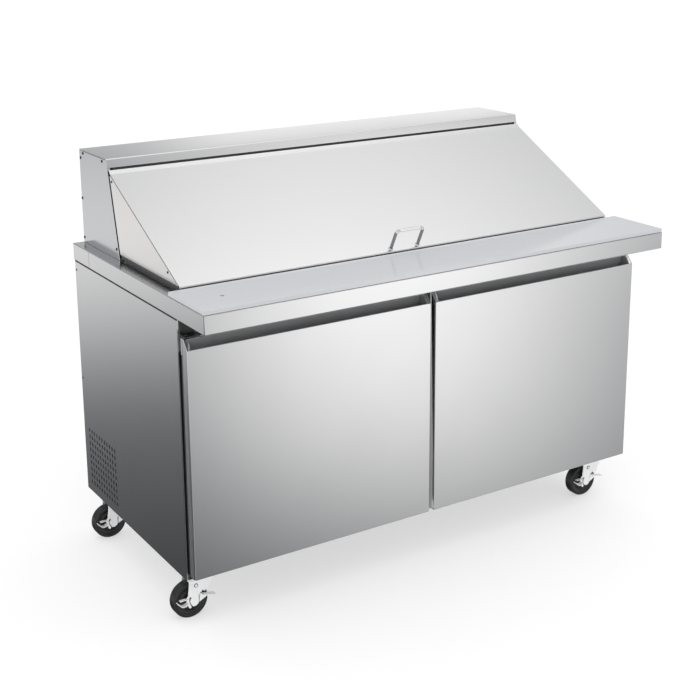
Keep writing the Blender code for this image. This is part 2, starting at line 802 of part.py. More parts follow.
def caster_brake(name, x, y):
    """Stamped lever on the axle, between wheel and front leg, with a tab and a pedal."""
    wheel_x = x - TRAIL
    low, high = y + BRAKE_Y[0], y + BRAKE_Y[1]

    def at(points):
        return [(wheel_x + u, WHEEL_R + v) for u, v in points]

    ring = at(
        [
            *arc(0, 0, 0.0195, 60, 165, 7),
            (-0.024, -0.002),
            (-0.024, -0.010),
            (-0.0165, -0.0105),
            *arc(-0.006, -0.0205, 0.0050, 190, 340, 5),
            (0.006, -0.0150),
            (0.024, -0.0060),
            (0.054, 0.0110),
            (0.050, 0.0175),
            (0.018, 0.0200),
        ]
    )
    bore = arc(wheel_x, WHEEL_R, AXLE_R + 0.0007, 0, 337.5, 16)
    lever = prism(name, "Y", ring, low, high, ZINC, [bore])
    sheet = 0.0018
    tab_line = [(-0.0215, -0.0040), (-0.0300, -0.0120), (-0.0400, -0.0135), (-0.0490, -0.0050)]
    tab = at([*tab_line, *[(u - 0.0004, v - sheet) for u, v in reversed(tab_line)]])
    pedal_line = [(0.0240, 0.0200), (0.0500, 0.0182), (0.0690, 0.0170)]
    pedal = at([*pedal_line, *[(u, v - sheet) for u, v in reversed(pedal_line)]])
    tab_y = y - 0.0360, high
    join(lever, prism(name + "_tab", "Y", tab, *tab_y), prism(name + "_pedal", "Y", pedal, *tab_y))
    return lever


def make_caster(corner, side, y):
    x = side * CASTER_X
    caster_plate(f"caster_plate_{corner}", x, y)
    fork = caster_fork(f"caster_fork_{corner}", x, y)
    wheel = caster_wheel(f"caster_wheel_{corner}", x, y)
    brake = caster_brake(f"caster_brake_{corner}", x, y)
    swivel = pivot(f"caster_swivel_{corner}", x, y, CROWN_Z, fork)
    axle = pivot(f"caster_axle_{corner}", x - TRAIL, y, WHEEL_R, wheel, brake)
    spot = axle.matrix_world.copy()
    axle.parent = swivel
    axle.matrix_parent_inverse = swivel.matrix_world.inverted()
    axle.matrix_world = spot


# ---------------------------------------------------------------- refrigeration
def fan_rotor(name, centre, radius, axis, finish):
    """A hub with pitched blades, turning about X or Y."""
    hub = drum(name, centre, 0.018, 0.022, axis, finish, sides=16)
    for blade in range(FAN_BLADES):
        angle = 2 * math.pi * blade / FAN_BLADES
        root = 0.012
        reach = (radius - root) / 2
        vane = box(f"{name}_blade_{blade}", (-0.0009, -0.021, -reach), (0.0009, 0.021, reach))
        out = Matrix.Translation((0, 0, root + reach))
        pitch = Matrix.Rotation(math.radians(28), 4, "Z")
        spin = Matrix.Rotation(angle, 4, "X")
        turn = Matrix.Identity(4) if axis == "X" else Matrix.Rotation(math.pi / 2, 4, "Z")
        vane.data.transform(turn @ spin @ out @ pitch)
        vane.location = place(*centre)
        join(hub, vane)
    return hub


def make_machine():
    """What stands in the compartment behind the vents."""
    base = CAB_Z + 0.0022 + GAP
    x, y = -0.43, 0.735
    profile = [
        (0, base + 0.190),
        (0.040, base + 0.184),
        (0.066, base + 0.165),
        (0.076, base + 0.130),
        (0.076, base + 0.095),
        (0.080, base + 0.092),
        (0.080, base + 0.084),
        (0.076, base + 0.080),
        (0.072, base + 0.030),
        (0.050, base + 0.012),
        (0.050, base),
        (0, base),
    ]
    turned("compressor", profile, (x, y, 0), "Z", CAST, steps=24)
    box("condenser_coil", (-0.735, 0.635, base), (-0.695, 0.840, base + 0.215), FINS)
    centre = (-0.640, 0.7375, 0.2450)
    fan = fan_rotor("condenser_fan", centre, 0.088, "X", BLACK)
    pivot("condenser_fan_pivot", *centre, fan)

    gland_profile = [
        (0, 0.0068),
        (0.0060, 0.0068),
        (0.0085, 0.0060),
        (0.0125, 0.0055),
        (0.0125, 0.0016),
        (0.0080, 0.0016),
        (0.0080, -0.0060),
        (0, -0.0060),
    ]
    gland = turned("power_gland", gland_profile, (0.60, REAR_COVER_Y, 0.28), "Y", BLACK, steps=16)
    gland.rotation_euler = (-math.pi / 2, 0, 0)


def make_evaporator():
    """The blower housing on the rear wall of the cold space, with its fan and thermostat knob."""
    low = (-0.260, 0.728, 0.500)
    high = (0.260, 0.8210, 0.770)
    cover = box("evaporator_cover", low, high, STEEL)
    wall = 0.002
    inner = box(
        "evaporator_hollow",
        (low[0] + wall, low[1] + wall, low[2] + wall),
        (high[0] - wall, high[1] + 0.01, high[2] - wall),
    )
    centre = (0, 0.755, 0.635)
    mouth = drum("blower_mouth", (0, low[1], 0.635), 0.088, 0.03, "Y", sides=32)
    cut(cover, inner, mouth)
    fan = fan_rotor("evaporator_fan", centre, 0.082, "Y", BLACK)
    pivot("evaporator_fan_pivot", *centre, fan)

    face = low[1] - GAP
    profile = [
        (0, 0.016),
        (0.0150, 0.016),
        (0.0165, 0.014),
        (0.0170, 0.003),
        (0.0200, 0.002),
        (0.0200, 0),
        (0, 0),
    ]
    knob = turned("thermostat_knob", profile, (0.190, face, 0.560), "Y", BLACK, steps=20)
    pointer = box("knob_pointer", (0.188, face - 0.0175, 0.560), (0.192, face - 0.008, 0.576))
    join(knob, pointer)
    pivot("thermostat_pivot", 0.190, face, 0.560, knob)


# ---------------------------------------------------------------- build
make_cabinet()
make_shelf("left_shelf", -1)
make_shelf("right_shelf", 1)
make_worktop()
make_collar()
for row_name, row_front in PAN_ROWS.items():
    make_pan_row(f"pans_{row_name}_row", row_front)
make_board()
make_hood()
make_lid()
make_door("left", -1)
make_door("right", 1)
make_caster("front_left", -1, CASTER_Y["front"])
make_caster("front_right", 1, CASTER_Y["front"])
make_caster("rear_left", -1, CASTER_Y["rear"])
make_caster("rear_right", 1, CASTER_Y["rear"])
make_machine()
make_evaporator()

for part in parts.objects:
    if part.type == "MESH":
        part.data.shade_smooth()
        part.data.set_sharp_from_angle(angle=math.radians(35))
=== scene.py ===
"""The looks of a refrigerated sandwich prep table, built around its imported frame."""

import json
import math

import bmesh
import bpy
from mathutils import Matrix, Vector


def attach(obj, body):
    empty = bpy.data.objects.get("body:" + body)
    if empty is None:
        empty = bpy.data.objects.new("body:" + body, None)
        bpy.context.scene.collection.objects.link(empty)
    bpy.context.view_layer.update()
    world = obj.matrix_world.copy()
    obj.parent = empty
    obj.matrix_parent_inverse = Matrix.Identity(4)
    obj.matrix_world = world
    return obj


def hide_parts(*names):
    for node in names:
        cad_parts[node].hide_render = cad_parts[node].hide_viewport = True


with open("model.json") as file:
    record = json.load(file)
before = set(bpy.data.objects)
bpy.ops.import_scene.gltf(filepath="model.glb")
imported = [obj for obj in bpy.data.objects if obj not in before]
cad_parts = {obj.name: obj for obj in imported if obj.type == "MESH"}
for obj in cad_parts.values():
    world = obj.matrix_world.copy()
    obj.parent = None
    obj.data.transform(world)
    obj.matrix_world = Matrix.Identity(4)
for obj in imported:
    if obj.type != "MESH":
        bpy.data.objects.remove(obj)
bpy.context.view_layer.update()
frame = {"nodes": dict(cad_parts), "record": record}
nodes = frame["nodes"]

# Design coordinates: x from the middle of the worktop, y back from its front edge, z up from the floor.
SHIFT_X = 0.0119
SHIFT_Y = 0.432


def place(x, y, z):
    return Vector((x + SHIFT_X, y - SHIFT_Y, z))


# ---------------------------------------------------------------- camera
FOCAL_PX = 1310.5
IMAGE_PX = 700
CAM_YAW = 32.37
CAM_PITCH = 14.32
CAM_ROLL = -0.33
CAM_SPOT = (-2.078, -2.730, 1.851)
CAM_SHIFT = -0.15

lens = bpy.data.cameras.new("camera")
lens.sensor_width = 36.0
lens.lens = FOCAL_PX / IMAGE_PX * lens.sensor_width
lens.shift_y = CAM_SHIFT
lens.clip_end = 100.0
camera = bpy.data.objects.new("camera", lens)
bpy.context.scene.collection.objects.link(camera)
camera.location = place(*CAM_SPOT)
turn = Matrix.Rotation(math.radians(-CAM_YAW), 3, "Z")
tilt = Matrix.Rotation(math.radians(90 - CAM_PITCH), 3, "X")
roll = Matrix.Rotation(math.radians(CAM_ROLL), 3, "Z")
camera.rotation_euler = (turn @ tilt @ roll).to_euler()
bpy.context.scene.camera = camera


# ---------------------------------------------------------------- node graphs
class Graph:
    """Short calls for building one node tree. Each call returns an output socket."""

    def __init__(self, tree):
        self.tree = tree

    def node(self, kind, **settings):
        made = self.tree.nodes.new(kind)
        for key, value in settings.items():
            setattr(made, key, value)
        return made

    def feed(self, socket, value):
        if isinstance(value, bpy.types.NodeSocket):
            self.tree.links.new(value, socket)
        elif value is not None:
            socket.default_value = value

    def math(self, operation, a, b=None, c=None):
        made = self.node("ShaderNodeMath", operation=operation)
        for socket, value in zip(made.inputs, (a, b, c)):
            self.feed(socket, value)
        return made.outputs[0]

    def add(self, a, b):
        return self.math("ADD", a, b)

    def sub(self, a, b):
        return self.math("SUBTRACT", a, b)

    def mul(self, a, b):
        return self.math("MULTIPLY", a, b)

    def rise(self, value, low, high, out_low=0.0, out_high=1.0):
        """A smooth step from out_low at low to out_high at high."""
        made = self.node("ShaderNodeMapRange", interpolation_type="SMOOTHSTEP")
        for socket, number in zip(made.inputs, (value, low, high, out_low, out_high)):
            self.feed(socket, number)
        return made.outputs[0]

    def mix(self, factor, a, b):
        made = self.node("ShaderNodeMix", data_type="RGBA")
        self.feed(made.inputs[0], factor)
        self.feed(made.inputs[6], a)
        self.feed(made.inputs[7], b)
        return made.outputs[2]

    def noise(self, vector, scale, detail=2.0, roughness=0.5):
        made = self.node("ShaderNodeTexNoise")
        self.feed(made.inputs["Vector"], vector)
        made.inputs["Scale"].default_value = scale
        made.inputs["Detail"].default_value = detail
        made.inputs["Roughness"].default_value = roughness
        return made.outputs[0]

    def stretch(self, vector, factors):
        made = self.node("ShaderNodeVectorMath", operation="MULTIPLY")
        self.feed(made.inputs[0], vector)
        made.inputs[1].default_value = factors
        return made.outputs[0]

    def bump(self, height, strength, distance=0.0002):
        made = self.node("ShaderNodeBump")
        made.inputs["Strength"].default_value = strength
        made.inputs["Distance"].default_value = distance
        self.feed(made.inputs["Height"], height)
        return made.outputs[0]


def grey(level):
    return (level, level, level, 1)


# ---------------------------------------------------------------- studio
def make_world():
    """White paper for the camera and for soft light, and broad softboxes, as directions, for reflections."""
    world = bpy.data.worlds.new("studio")
    bpy.context.scene.world = world
    world.use_nodes = True
    tree = world.node_tree
    tree.nodes.clear()
    g = Graph(tree)
    direction = g.node("ShaderNodeTexCoord").outputs["Generated"]
    split = g.node("ShaderNodeSeparateXYZ")
    g.feed(split.inputs[0], direction)
    x, y, z = split.outputs
    to_degrees = 180 / math.pi
    height = g.mul(g.math("ARCSINE", z), to_degrees)
    heading = g.mul(g.math("ARCTAN2", x, g.mul(y, -1.0)), to_degrees)  # 0 in front, 90 to the right

    def near(angle, width, plateau):
        """1 within plateau of a heading, falling smoothly to 0 at width."""
        away = g.math("ABSOLUTE", g.math("WRAP", g.sub(heading, angle), 180.0, -180.0))
        return g.rise(away, plateau, width, 1.0, 0.0)

    # Floor sheen: dark close by, bright towards the horizon, fading upwards.
    sheen = g.add(g.rise(height, -36.0, -8.0, 0.30, 0.80), g.rise(height, -4.0, 24.0, 0.0, -0.42))
    # The floor to the left behind lies in deep shade up close.
    shade = g.add(g.rise(height, -32.0, -19.0, 0.035, 0.15), g.rise(height, -22.0, -13.5, 0.0, 0.70))
    shade = g.add(shade, g.rise(height, -14.0, -1.0, 0.0, -0.72))
    left_back = near(-160.0, 48.0, 25.0)
    low = g.add(g.mul(shade, left_back), g.mul(sheen, g.sub(1.0, left_back)))
    # Tall softbox to the right of the front.
    lobe_turn = g.mul(g.rise(heading, 20.0, 32.0), g.rise(heading, 35.0, 49.0, 1.0, 0.0))
    lobe_tall = g.add(g.rise(height, -31.5, -18.5, 0.0, 1.06), g.rise(height, -12.0, 14.0, 0.0, -0.52))
    # Its place is kept dark round about, so that the doors fade to both sides.
    ring = g.mul(near(34.5, 34.0, 17.0), g.rise(height, -16.0, -10.0, 1.0, 0.6))
    ring = g.mul(ring, g.rise(height, 8.0, 24.0, 1.0, 0.0))
    ring = g.mul(ring, g.rise(height, -30.0, -20.0, 1.25, 1.0))
    low = g.mul(low, g.sub(1.0, g.mul(ring, 0.62)))
    # Low softbox behind, for the top surfaces.
    back_band = g.mul(g.rise(height, -2.0, 6.0), g.rise(height, 16.0, 26.0, 1.0, 0.0))
    back_lobe = g.mul(near(146.5, 12.0, 5.0), back_band)
    # Overhead softbox, for the lid.
    top_heading, top_height = math.radians(90), math.radians(62)
    flat = math.cos(top_height)
    dot = g.node("ShaderNodeVectorMath", operation="DOT_PRODUCT")
    g.feed(dot.inputs[0], direction)
    dot.inputs[1].default_value = (flat * math.sin(top_heading), -flat * math.cos(top_heading),
                                   math.sin(top_height))
    from_centre = g.mul(g.math("ARCCOSINE", dot.outputs["Value"]), to_degrees)
    top_lobe = g.rise(from_centre, 6.0, 28.0, 1.0, 0.0)
    # Soft fill for the sides that the lobes leave out.
    front_fill = near(-45.0, 60.0, 35.0)
    rear_fill = g.mul(near(-135.0, 75.0, 45.0), g.rise(height, 4.0, 18.0))
    right_fill = g.mul(near(112.0, 60.0, 38.0), g.rise(height, -8.0, 2.0, 1.0, 0.0))

    sky = g.rise(height, 14.0, 60.0, 0.0, 0.06)
    level = g.add(g.add(low, sky), g.mul(lobe_turn, lobe_tall))
    lobes = ((back_lobe, 0.41), (top_lobe, 1.14), (front_fill, 0.24), (rear_fill, 0.34), (right_fill, 0.22))
    for lobe, strength in lobes:
        level = g.add(level, g.mul(lobe, strength))
    tint = g.mix(g.rise(level, 0.15, 0.95), (0.965, 0.985, 1.02, 1), (1.0, 0.998, 0.99, 1))
    path = g.node("ShaderNodeLightPath")

    def background(colour, strength):
        made = g.node("ShaderNodeBackground")
        g.feed(made.inputs["Color"], colour)
        g.feed(made.inputs["Strength"], strength)
        return made.outputs[0]

    def choose(ray, one, other):
        """One shader for a kind of ray and the other for the rest."""
        made = g.node("ShaderNodeMixShader")
        for socket, value in zip(made.inputs, (path.outputs[ray], other, one)):
            g.feed(socket, value)
        return made.outputs[0]

    lit = choose("Is Glossy Ray", background(tint, level), background(grey(1), 1.10))
    seen = choose("Is Camera Ray", background(grey(1), 1.0), lit)
    g.feed(g.node("ShaderNodeOutputWorld").inputs[0], seen)


def make_floor():
    bpy.ops.mesh.primitive_circle_add(vertices=96, radius=30, fill_type="NGON", location=(0, 0, -0.0002))
    floor = bpy.context.object
    floor.name = "floor"
    paper = bpy.data.materials.new("floor_paper")
    paper.use_nodes = True
    g = Graph(paper.node_tree)
    shader = paper.node_tree.nodes["Principled BSDF"]
    spots = g.noise(g.node("ShaderNodeTexCoord").outputs["Object"], 3.0, 3.0)
    g.feed(shader.inputs["Base Color"], g.mix(spots, grey(0.47), grey(0.48)))
    shader.inputs["Roughness"].default_value = 0.9
    shader.inputs["Specular IOR Level"].default_value = 0.1
    shader.inputs["Emission Color"].default_value = grey(1)
    shader.inputs["Emission Strength"].default_value = 0.52
    floor.data.materials.append(paper)
    floor.visible_glossy = False


def soft_light(name, spot, aim, size, power):
    light = bpy.data.lights.new(name, "AREA")
    light.shape = "RECTANGLE"
    light.size, light.size_y = size
    light.energy = power
    lamp = bpy.data.objects.new(name, light)
    bpy.context.scene.collection.objects.link(lamp)
    lamp.location = spot
    lamp.rotation_euler = (Vector(aim) - Vector(spot)).to_track_quat("-Z", "Y").to_euler()
    lamp.visible_glossy = False


make_world()
make_floor()
soft_light("overhead_softbox", (0.3, -0.8, 3.2), (0, 0, 0.5), (3.0, 2.4), 14)
bpy.context.scene.view_settings.view_transform = "Standard"


# ---------------------------------------------------------------- materials
def new_material(name, colour, roughness, metallic=0.0):
    made = bpy.data.materials.new(name)
    made.use_nodes = True
    shader = made.node_tree.nodes["Principled BSDF"]
    shader.inputs["Base Color"].default_value = (*colour, 1)
    shader.inputs["Roughness"].default_value = roughness
    shader.inputs["Metallic"].default_value = metallic
    return made, Graph(made.node_tree), shader


def brushed(name, axis, colour, roughness, swing=0.05, bump=0.05, metallic=1.0):
    """Rolled and brushed stainless: fine lines along one axis, wider streaks and faint handling marks."""
    made, g, shader = new_material(name, colour, roughness, metallic)
    spot = g.node("ShaderNodeTexCoord").outputs["Object"]

    def lines(along, across, detail):
        factors = [along if letter == axis else across for letter in "XYZ"]
        return g.noise(g.stretch(spot, factors), 1.0, detail, 0.6)

    fine = lines(3.0, 900.0, 2.0)
    wide = lines(1.2, 160.0, 3.0)
    marks = g.noise(spot, 5.5, 4.0, 0.6)
    streak = g.add(g.mul(fine, 0.6), g.mul(wide, 0.4))
    dark = (*[c * 0.96 for c in colour], 1)
    light = (*[min(1.0, c * 1.03) for c in colour], 1)
    g.feed(shader.inputs["Base Color"], g.mix(streak, dark, light))
    rough = g.add(g.mul(g.sub(streak, 0.5), swing), g.mul(g.sub(marks, 0.5), swing * 0.6))
    g.feed(shader.inputs["Roughness"], g.add(rough, roughness))
    g.feed(shader.inputs["Normal"], g.bump(fine, bump))
    return made


def moulded(name, colour, roughness, bump=0.15, scale=900.0, uneven=1.0):
    """Plastic or rubber with a fine moulded texture and a little unevenness."""
    made, g, shader = new_material(name, colour, roughness)
    spot = g.node("ShaderNodeTexCoord").outputs["Object"]
    grain = g.noise(spot, scale, 2.0, 0.6)
    dust = g.noise(spot, 14.0, 4.0, 0.6)
    dark = (*[c * (1 - 0.14 * uneven) for c in colour], 1)
    light = (*[min(1.0, c * (1 + 0.12 * uneven) + 0.004 * uneven) for c in colour], 1)
    g.feed(shader.inputs["Base Color"], g.mix(dust, dark, light))
    g.feed(shader.inputs["Roughness"], g.add(g.mul(g.sub(dust, 0.5), 0.16 * uneven), roughness))
    g.feed(shader.inputs["Normal"], g.bump(grain, bump))
    return made


STEEL_X = brushed("stainless_along_x", "X", (0.80, 0.80, 0.805), 0.20)
STEEL_Z = brushed("stainless_along_z", "Z", (0.80, 0.80, 0.805), 0.20)
BRIGHT = brushed("bright_stainless", "X", (0.86, 0.86, 0.87), 0.12, 0.03, 0.02)
ZINC = brushed("zinc_plate", "Z", (0.970, 0.972, 0.980), 0.28, 0.08, 0.04, metallic=0.15)
# Darker copy of the polished steel for the handle's bent ends: painted shade.
HANDLE_POST_SHADE = brushed("handle_post_painted_shade", "Z", (0.33, 0.33, 0.335), 0.22, 0.03, 0.02)
BLACK = moulded("black_plastic", (0.022, 0.022, 0.023), 0.42)
WHEEL = moulded("wheel_black", (0.012, 0.012, 0.013), 0.38, 0.08)
# Black rubber, also used for the lid's seam strips as painted shadow.
RUBBER_AND_SEAM_SHADE = moulded("gasket_rubber_and_seam_shadow", (0.035, 0.035, 0.036), 0.62, 0.2)
LINER = moulded("liner_white", (0.78, 0.79, 0.79), 0.30, 0.05, 500.0)
BOARD = moulded("board_plastic", (0.548, 0.560, 0.580), 0.11, 0.010, 700.0, 0.12)
# Near black for the sheet behind the vent slots: painted shade.
VENT_SHADOW = moulded("vent_shadow_black", (0.006, 0.006, 0.006), 0.8, 0.2)
# Flat grey for the raised curb round the pan well, set to the tone of the shaded band under the lid: painted
# shade.
CURB_SHADE = moulded("curb_painted_shade_grey", (0.190, 0.190, 0.195), 0.45, 0.06)
# Dark grey for the strips under the lid's ends: painted shade.
SKIRT_SHADE = moulded("skirt_painted_shade_grey", (0.065, 0.065, 0.067), 0.50, 0.06)
# A darker, cooler copy of the brushed stainless for the hood's ends: painted shade.
HOOD_END_SHADED = brushed("stainless_hood_ends_painted_shade", "Z", (0.705, 0.717, 0.735), 0.20)
# A lighter, warmer copy of the brushed stainless for the lid's ends: painted light.
LID_END_LIT = brushed("stainless_lid_ends_painted_light", "Z", (0.925, 0.908, 0.895), 0.20)
COATED = moulded("coated_wire", (0.82, 0.82, 0.80), 0.40, 0.08)
ENAMEL = moulded("black_enamel", (0.02, 0.02, 0.022), 0.30, 0.05)
FINS = brushed("aluminium_fins", "Z", (0.82, 0.83, 0.84), 0.34)
# Dark steel, also used on the lid hinge as painted shade.
DARK_STEEL_AND_SHADE = brushed("dark_steel_and_painted_shade", "X", (0.075, 0.075, 0.078), 0.42)
HINGE_BLACK = moulded("hinge_black_paint", (0.020, 0.020, 0.021), 0.34, 0.05)
# Mid grey for the door's pull channel, lighter than its dark plastic to lift the shade in the recess: painted
# light.
PULL_CHANNEL_LIT = moulded("pull_channel_painted_light_grey", (0.300, 0.303, 0.310), 0.34, 0.04)
COPPER = brushed("copper_pipe", "X", (0.80, 0.42, 0.28), 0.28)

# Each slot's finishes. The first is the one for CAD nodes that are shown as they are.
FINISHES = {
    "brushed_stainless": (STEEL_X, STEEL_Z, HOOD_END_SHADED, LID_END_LIT, DARK_STEEL_AND_SHADE),
    "bright_stainless": (BRIGHT, HANDLE_POST_SHADE, COPPER),
    "zinc_plate": (ZINC,),
    "black_plastic": (BLACK, WHEEL, VENT_SHADOW, CURB_SHADE, PULL_CHANNEL_LIT, HINGE_BLACK),
    "black_rubber": (RUBBER_AND_SEAM_SHADE, SKIRT_SHADE),
    "lined_insulation": (LINER,),
    "board_plastic": (BOARD,),
    "coated_wire": (COATED,),
    "black_enamel": (ENAMEL,),
    "aluminium_fins": (FINS,),
}
for entry in frame["record"]["subparts"]:
    slots = nodes[entry["node"]].data.materials
    slots.clear()
    slots.append(FINISHES[entry["material_slot"]][0])


# ---------------------------------------------------------------- mesh tools
SHEET = 0.0012


def round_edges(obj, width, segments, angle):
    edge = obj.modifiers.new("edges", "BEVEL")
    edge.width = width
    edge.segments = segments
    edge.limit_method = "ANGLE"
    edge.angle_limit = math.radians(angle)
    return edge


def add_piece(name, mesh, finish, replaces=(), body="cabinet", slot=None, bevel=0.0, segments=2, angle=32.0):
    """Links a mesh that is already in row coordinates, rides it on its body and hides the CAD parts that it
    stands for.
    """
    obj = bpy.data.objects.new(name, mesh)
    bpy.context.scene.collection.objects.link(obj)
    mesh.materials.clear()
    mesh.materials.append(finish)
    mesh.shade_smooth()
    if bevel:
        round_edges(obj, bevel, segments, angle).harden_normals = True
    else:
        mesh.set_sharp_from_angle(angle=math.radians(angle))
    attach(obj, body)
    if replaces:
        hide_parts(*replaces)
    return obj


def to_mesh(name, work):
    mesh = bpy.data.meshes.new(name)
    work.to_mesh(mesh)
    work.free()
    return mesh


def from_bmesh(name, work, *rest, **settings):
    bmesh.ops.recalc_face_normals(work, faces=work.faces)
    return add_piece(name, to_mesh(name, work), *rest, **settings)


# How (u, v) in a plane and w across it become a place.
AXES = {
    "X": lambda u, v, w: place(w, u, v),
    "Y": lambda u, v, w: place(u, w, v),
    "Z": lambda u, v, w: place(u, v, w),
}


def bridge(work, one, two):
    """Joins two loops with quads."""
    for k in range(len(one)):
        n = (k + 1) % len(one)
        work.faces.new((one[k], one[n], two[n], two[k]))


def loft(work, loops):
    """Joins a row of loops and closes both ends."""
    for one, two in zip(loops, loops[1:]):
        bridge(work, one, two)
    work.faces.new(loops[0][::-1])
    work.faces.new(loops[-1])


def quads(work, grid, skip=()):
    """Fills a grid of vertices with quads, leaving out the cells in skip."""
    for i, (one, two) in enumerate(zip(grid, grid[1:])):
        for j in range(len(one) - 1):
            if (i, j) not in skip:
                work.faces.new((one[j], two[j], two[j + 1], one[j + 1]))


def circle(steps):
    return [2 * math.pi * k / steps for k in range(steps)]


def span(way, one, two):
    """Two distances from the middle, taken to one side of it, in rising order."""
    return sorted((way * one, way * two))


def extrude(work, axis, outline, low, high):
    """Adds a closed prism. Outline points are (y, z) for X, (x, z) for Y and (x, y) for Z."""
    ends = [[work.verts.new(AXES[axis](u, v, w)) for u, v in outline] for w in (low, high)]
    bridge(work, *ends)
    work.faces.new(ends[0])
    work.faces.new(ends[1])


def prism(name, axis, outline, low, high, *rest, **settings):
    work = bmesh.new()
    extrude(work, axis, outline, low, high)
    return from_bmesh(name, work, *rest, **settings)


def punched(name, axis, outline, holes, low, high, *rest, **settings):
    """A plate with holes, from a filled flat curve."""
    curve = bpy.data.curves.new(name, "CURVE")
    curve.dimensions = "2D"
    curve.fill_mode = "BOTH"
    curve.extrude = (high - low) / 2
    for loop in (outline, *holes):
        spline = curve.splines.new("POLY")
        spline.points.add(len(loop) - 1)
        for point, (u, v) in zip(spline.points, loop):
            point.co = (u, v, 0, 1)
        spline.use_cyclic_u = True
    shape = bpy.data.objects.new(name + "_curve", curve)
    bpy.context.scene.collection.objects.link(shape)
    bpy.context.view_layer.update()
    mesh = bpy.data.meshes.new_from_object(shape.evaluated_get(bpy.context.evaluated_depsgraph_get()))
    bpy.data.objects.remove(shape)
    middle = (low + high) / 2
    for vertex in mesh.vertices:
        u, v, w = vertex.co
        vertex.co = AXES[axis](u, v, w + middle)
    work = bmesh.new()
    work.from_mesh(mesh)
    bmesh.ops.remove_doubles(work, verts=work.verts, dist=0.00001)
    bpy.data.meshes.remove(mesh)
    return from_bmesh(name, work, *rest, **settings)


def fillet(points, radius, steps=4, closed=False):
    """Rounds the corners of a line of points."""
    made = []
    count = len(points)
    for i, point in enumerate(points):
        if not closed and i in (0, count - 1):
            made.append(Vector(point))
            continue
        here = Vector(point)
        before = Vector(points[i - 1]) - here
        after = Vector(points[(i + 1) % count]) - here
        a, b = before.normalized(), after.normalized()
        half = a.angle(b) / 2
        if abs(half - math.pi / 2) < 0.01 or radius <= 0:
            made.append(here)
            continue
        reach = min(radius / math.tan(half), before.length * 0.48, after.length * 0.48)
        real = reach * math.tan(half)
        centre = here + (a + b).normalized() * (real / math.sin(half))
        start = here + a * reach - centre
        end = here + b * reach - centre
        sweep = start.angle(end)
        for k in range(steps + 1):
            t = k / steps
            spot = (start * math.sin((1 - t) * sweep) + end * math.sin(t * sweep)) / math.sin(sweep)
            made.append(centre + spot)
    return made


def sheet_outline(points, thickness, radius, steps=4, side=0):
    """The closed outline of a sheet folded along a line.

    side says which side of the line it lies on: 1 left, -1 right, 0 half to each.
    """
    line = fillet([Vector(p) for p in points], radius, steps)
    left, right = [], []
    for i, point in enumerate(line):
        before = (point - line[i - 1]).normalized() if i else None
        after = (line[i + 1] - point).normalized() if i < len(line) - 1 else None
        along = ((before or after) + (after or before)).normalized()
        normal = Vector((-along.y, along.x))
        scale = 1.0
        if before is not None and after is not None:
            scale = 1.0 / max(0.5, normal.dot(Vector((-before.y, before.x))))
        left.append(tuple(point + normal * thickness * scale * (1 + side) / 2))
        right.append(tuple(point - normal * thickness * scale * (1 - side) / 2))
    return left + right[::-1]


def rectangle(low_u, high_u, low_v, high_v, radius=0.0, steps=4):
    corners = [(low_u, low_v), (high_u, low_v), (high_u, high_v), (low_u, high_v)]
    return [tuple(p) for p in fillet(corners, radius, steps, closed=True)] if radius else corners


def arc(centre_u, centre_v, radius, start, end, count):
    angles = [math.radians(start + (end - start) * i / (count - 1)) for i in range(count)]
    return [(centre_u + radius * math.cos(a), centre_v + radius * math.sin(a)) for a in angles]


def inset_box(box, inset, radius=0.0, steps=4):
    low_u, high_u, low_v, high_v = box
    return rectangle(low_u + inset, high_u - inset, low_v + inset, high_v - inset, radius, steps)


def across(axis, spot):
    """A place's (u, v, w) for an axis, with w along it."""
    k = "XYZ".index(axis)
    return (*spot[:k], *spot[k + 1:], spot[k])


def lathe(work, profile, centre, axis, steps=48):
    """Adds a closed profile of (radius, height) turned about a line through centre along X, Y or Z."""
    put = AXES[axis]
    mid_u, mid_v, base = across(axis, centre)
    rings = []
    for radius, height in profile:
        turns = circle(steps) if radius else [0.0]
        rings.append([work.verts.new(put(mid_u + radius * math.cos(a), mid_v + radius * math.sin(a),
                                         base + height)) for a in turns])
    pairs = list(zip(rings, rings[1:]))
    if profile[0][0] and profile[-1][0]:
        pairs.append((rings[-1], rings[0]))
    for one, two in pairs:
        for k in range(steps):
            n = (k + 1) % steps
            corners = [one[k % len(one)], one[n % len(one)], two[n % len(two)], two[k % len(two)]]
            face = list(dict.fromkeys(corners))
            if len(face) > 2:
                work.faces.new(face)


def turned(name, profile, centre, axis, *rest, steps=48, **settings):
    work = bmesh.new()
    lathe(work, profile, centre, axis, steps)
    return from_bmesh(name, work, *rest, **settings)


def tube(work, points, radius, sides=10):
    """Adds a round bar with capped ends through design points, with no twist."""
    path = [place(*p) for p in points]
    rings = []
    side = None
    for i, spot in enumerate(path):
        along = (path[min(i + 1, len(path) - 1)] - path[max(i - 1, 0)]).normalized()
        side = along.orthogonal() if side is None else side - along * side.dot(along)
        side.normalize()
        other = along.cross(side)
        rings.append([work.verts.new(spot + side * radius * math.cos(a) + other * radius * math.sin(a))
                      for a in circle(sides)])
    loft(work, rings)


def ring_sweep(name, box, profile, axis, *rest, **settings):
    """A closed cross-section of (inset, height) carried round a rectangle with mitred corners."""
    work = bmesh.new()
    loops = [[work.verts.new(AXES[axis](u, v, height)) for u, v in inset_box(box, inset)]
             for inset, height in profile]
    for one, two in zip(loops, loops[1:] + loops[:1]):
        bridge(work, one, two)
    return from_bmesh(name, work, *rest, **settings)


def screws(name, spots, axis, side, finish, radius=0.0040, tall=0.0022, **settings):
    """Domed heads with a socket, on a face that looks along the axis or, with side -1, against it."""
    profile = [(0, tall * 0.55), (radius * 0.34, tall * 0.55), (radius * 0.36, tall * 0.98),
               (radius * 0.62, tall), (radius * 0.90, tall * 0.66), (radius, tall * 0.12), (radius, -0.0002),
               (0, -0.0002)]
    work = bmesh.new()
    for spot in spots:
        lathe(work, [(r, h * side) for r, h in profile], spot, axis, 20)
    return from_bmesh(name, work, finish, angle=40, **settings)


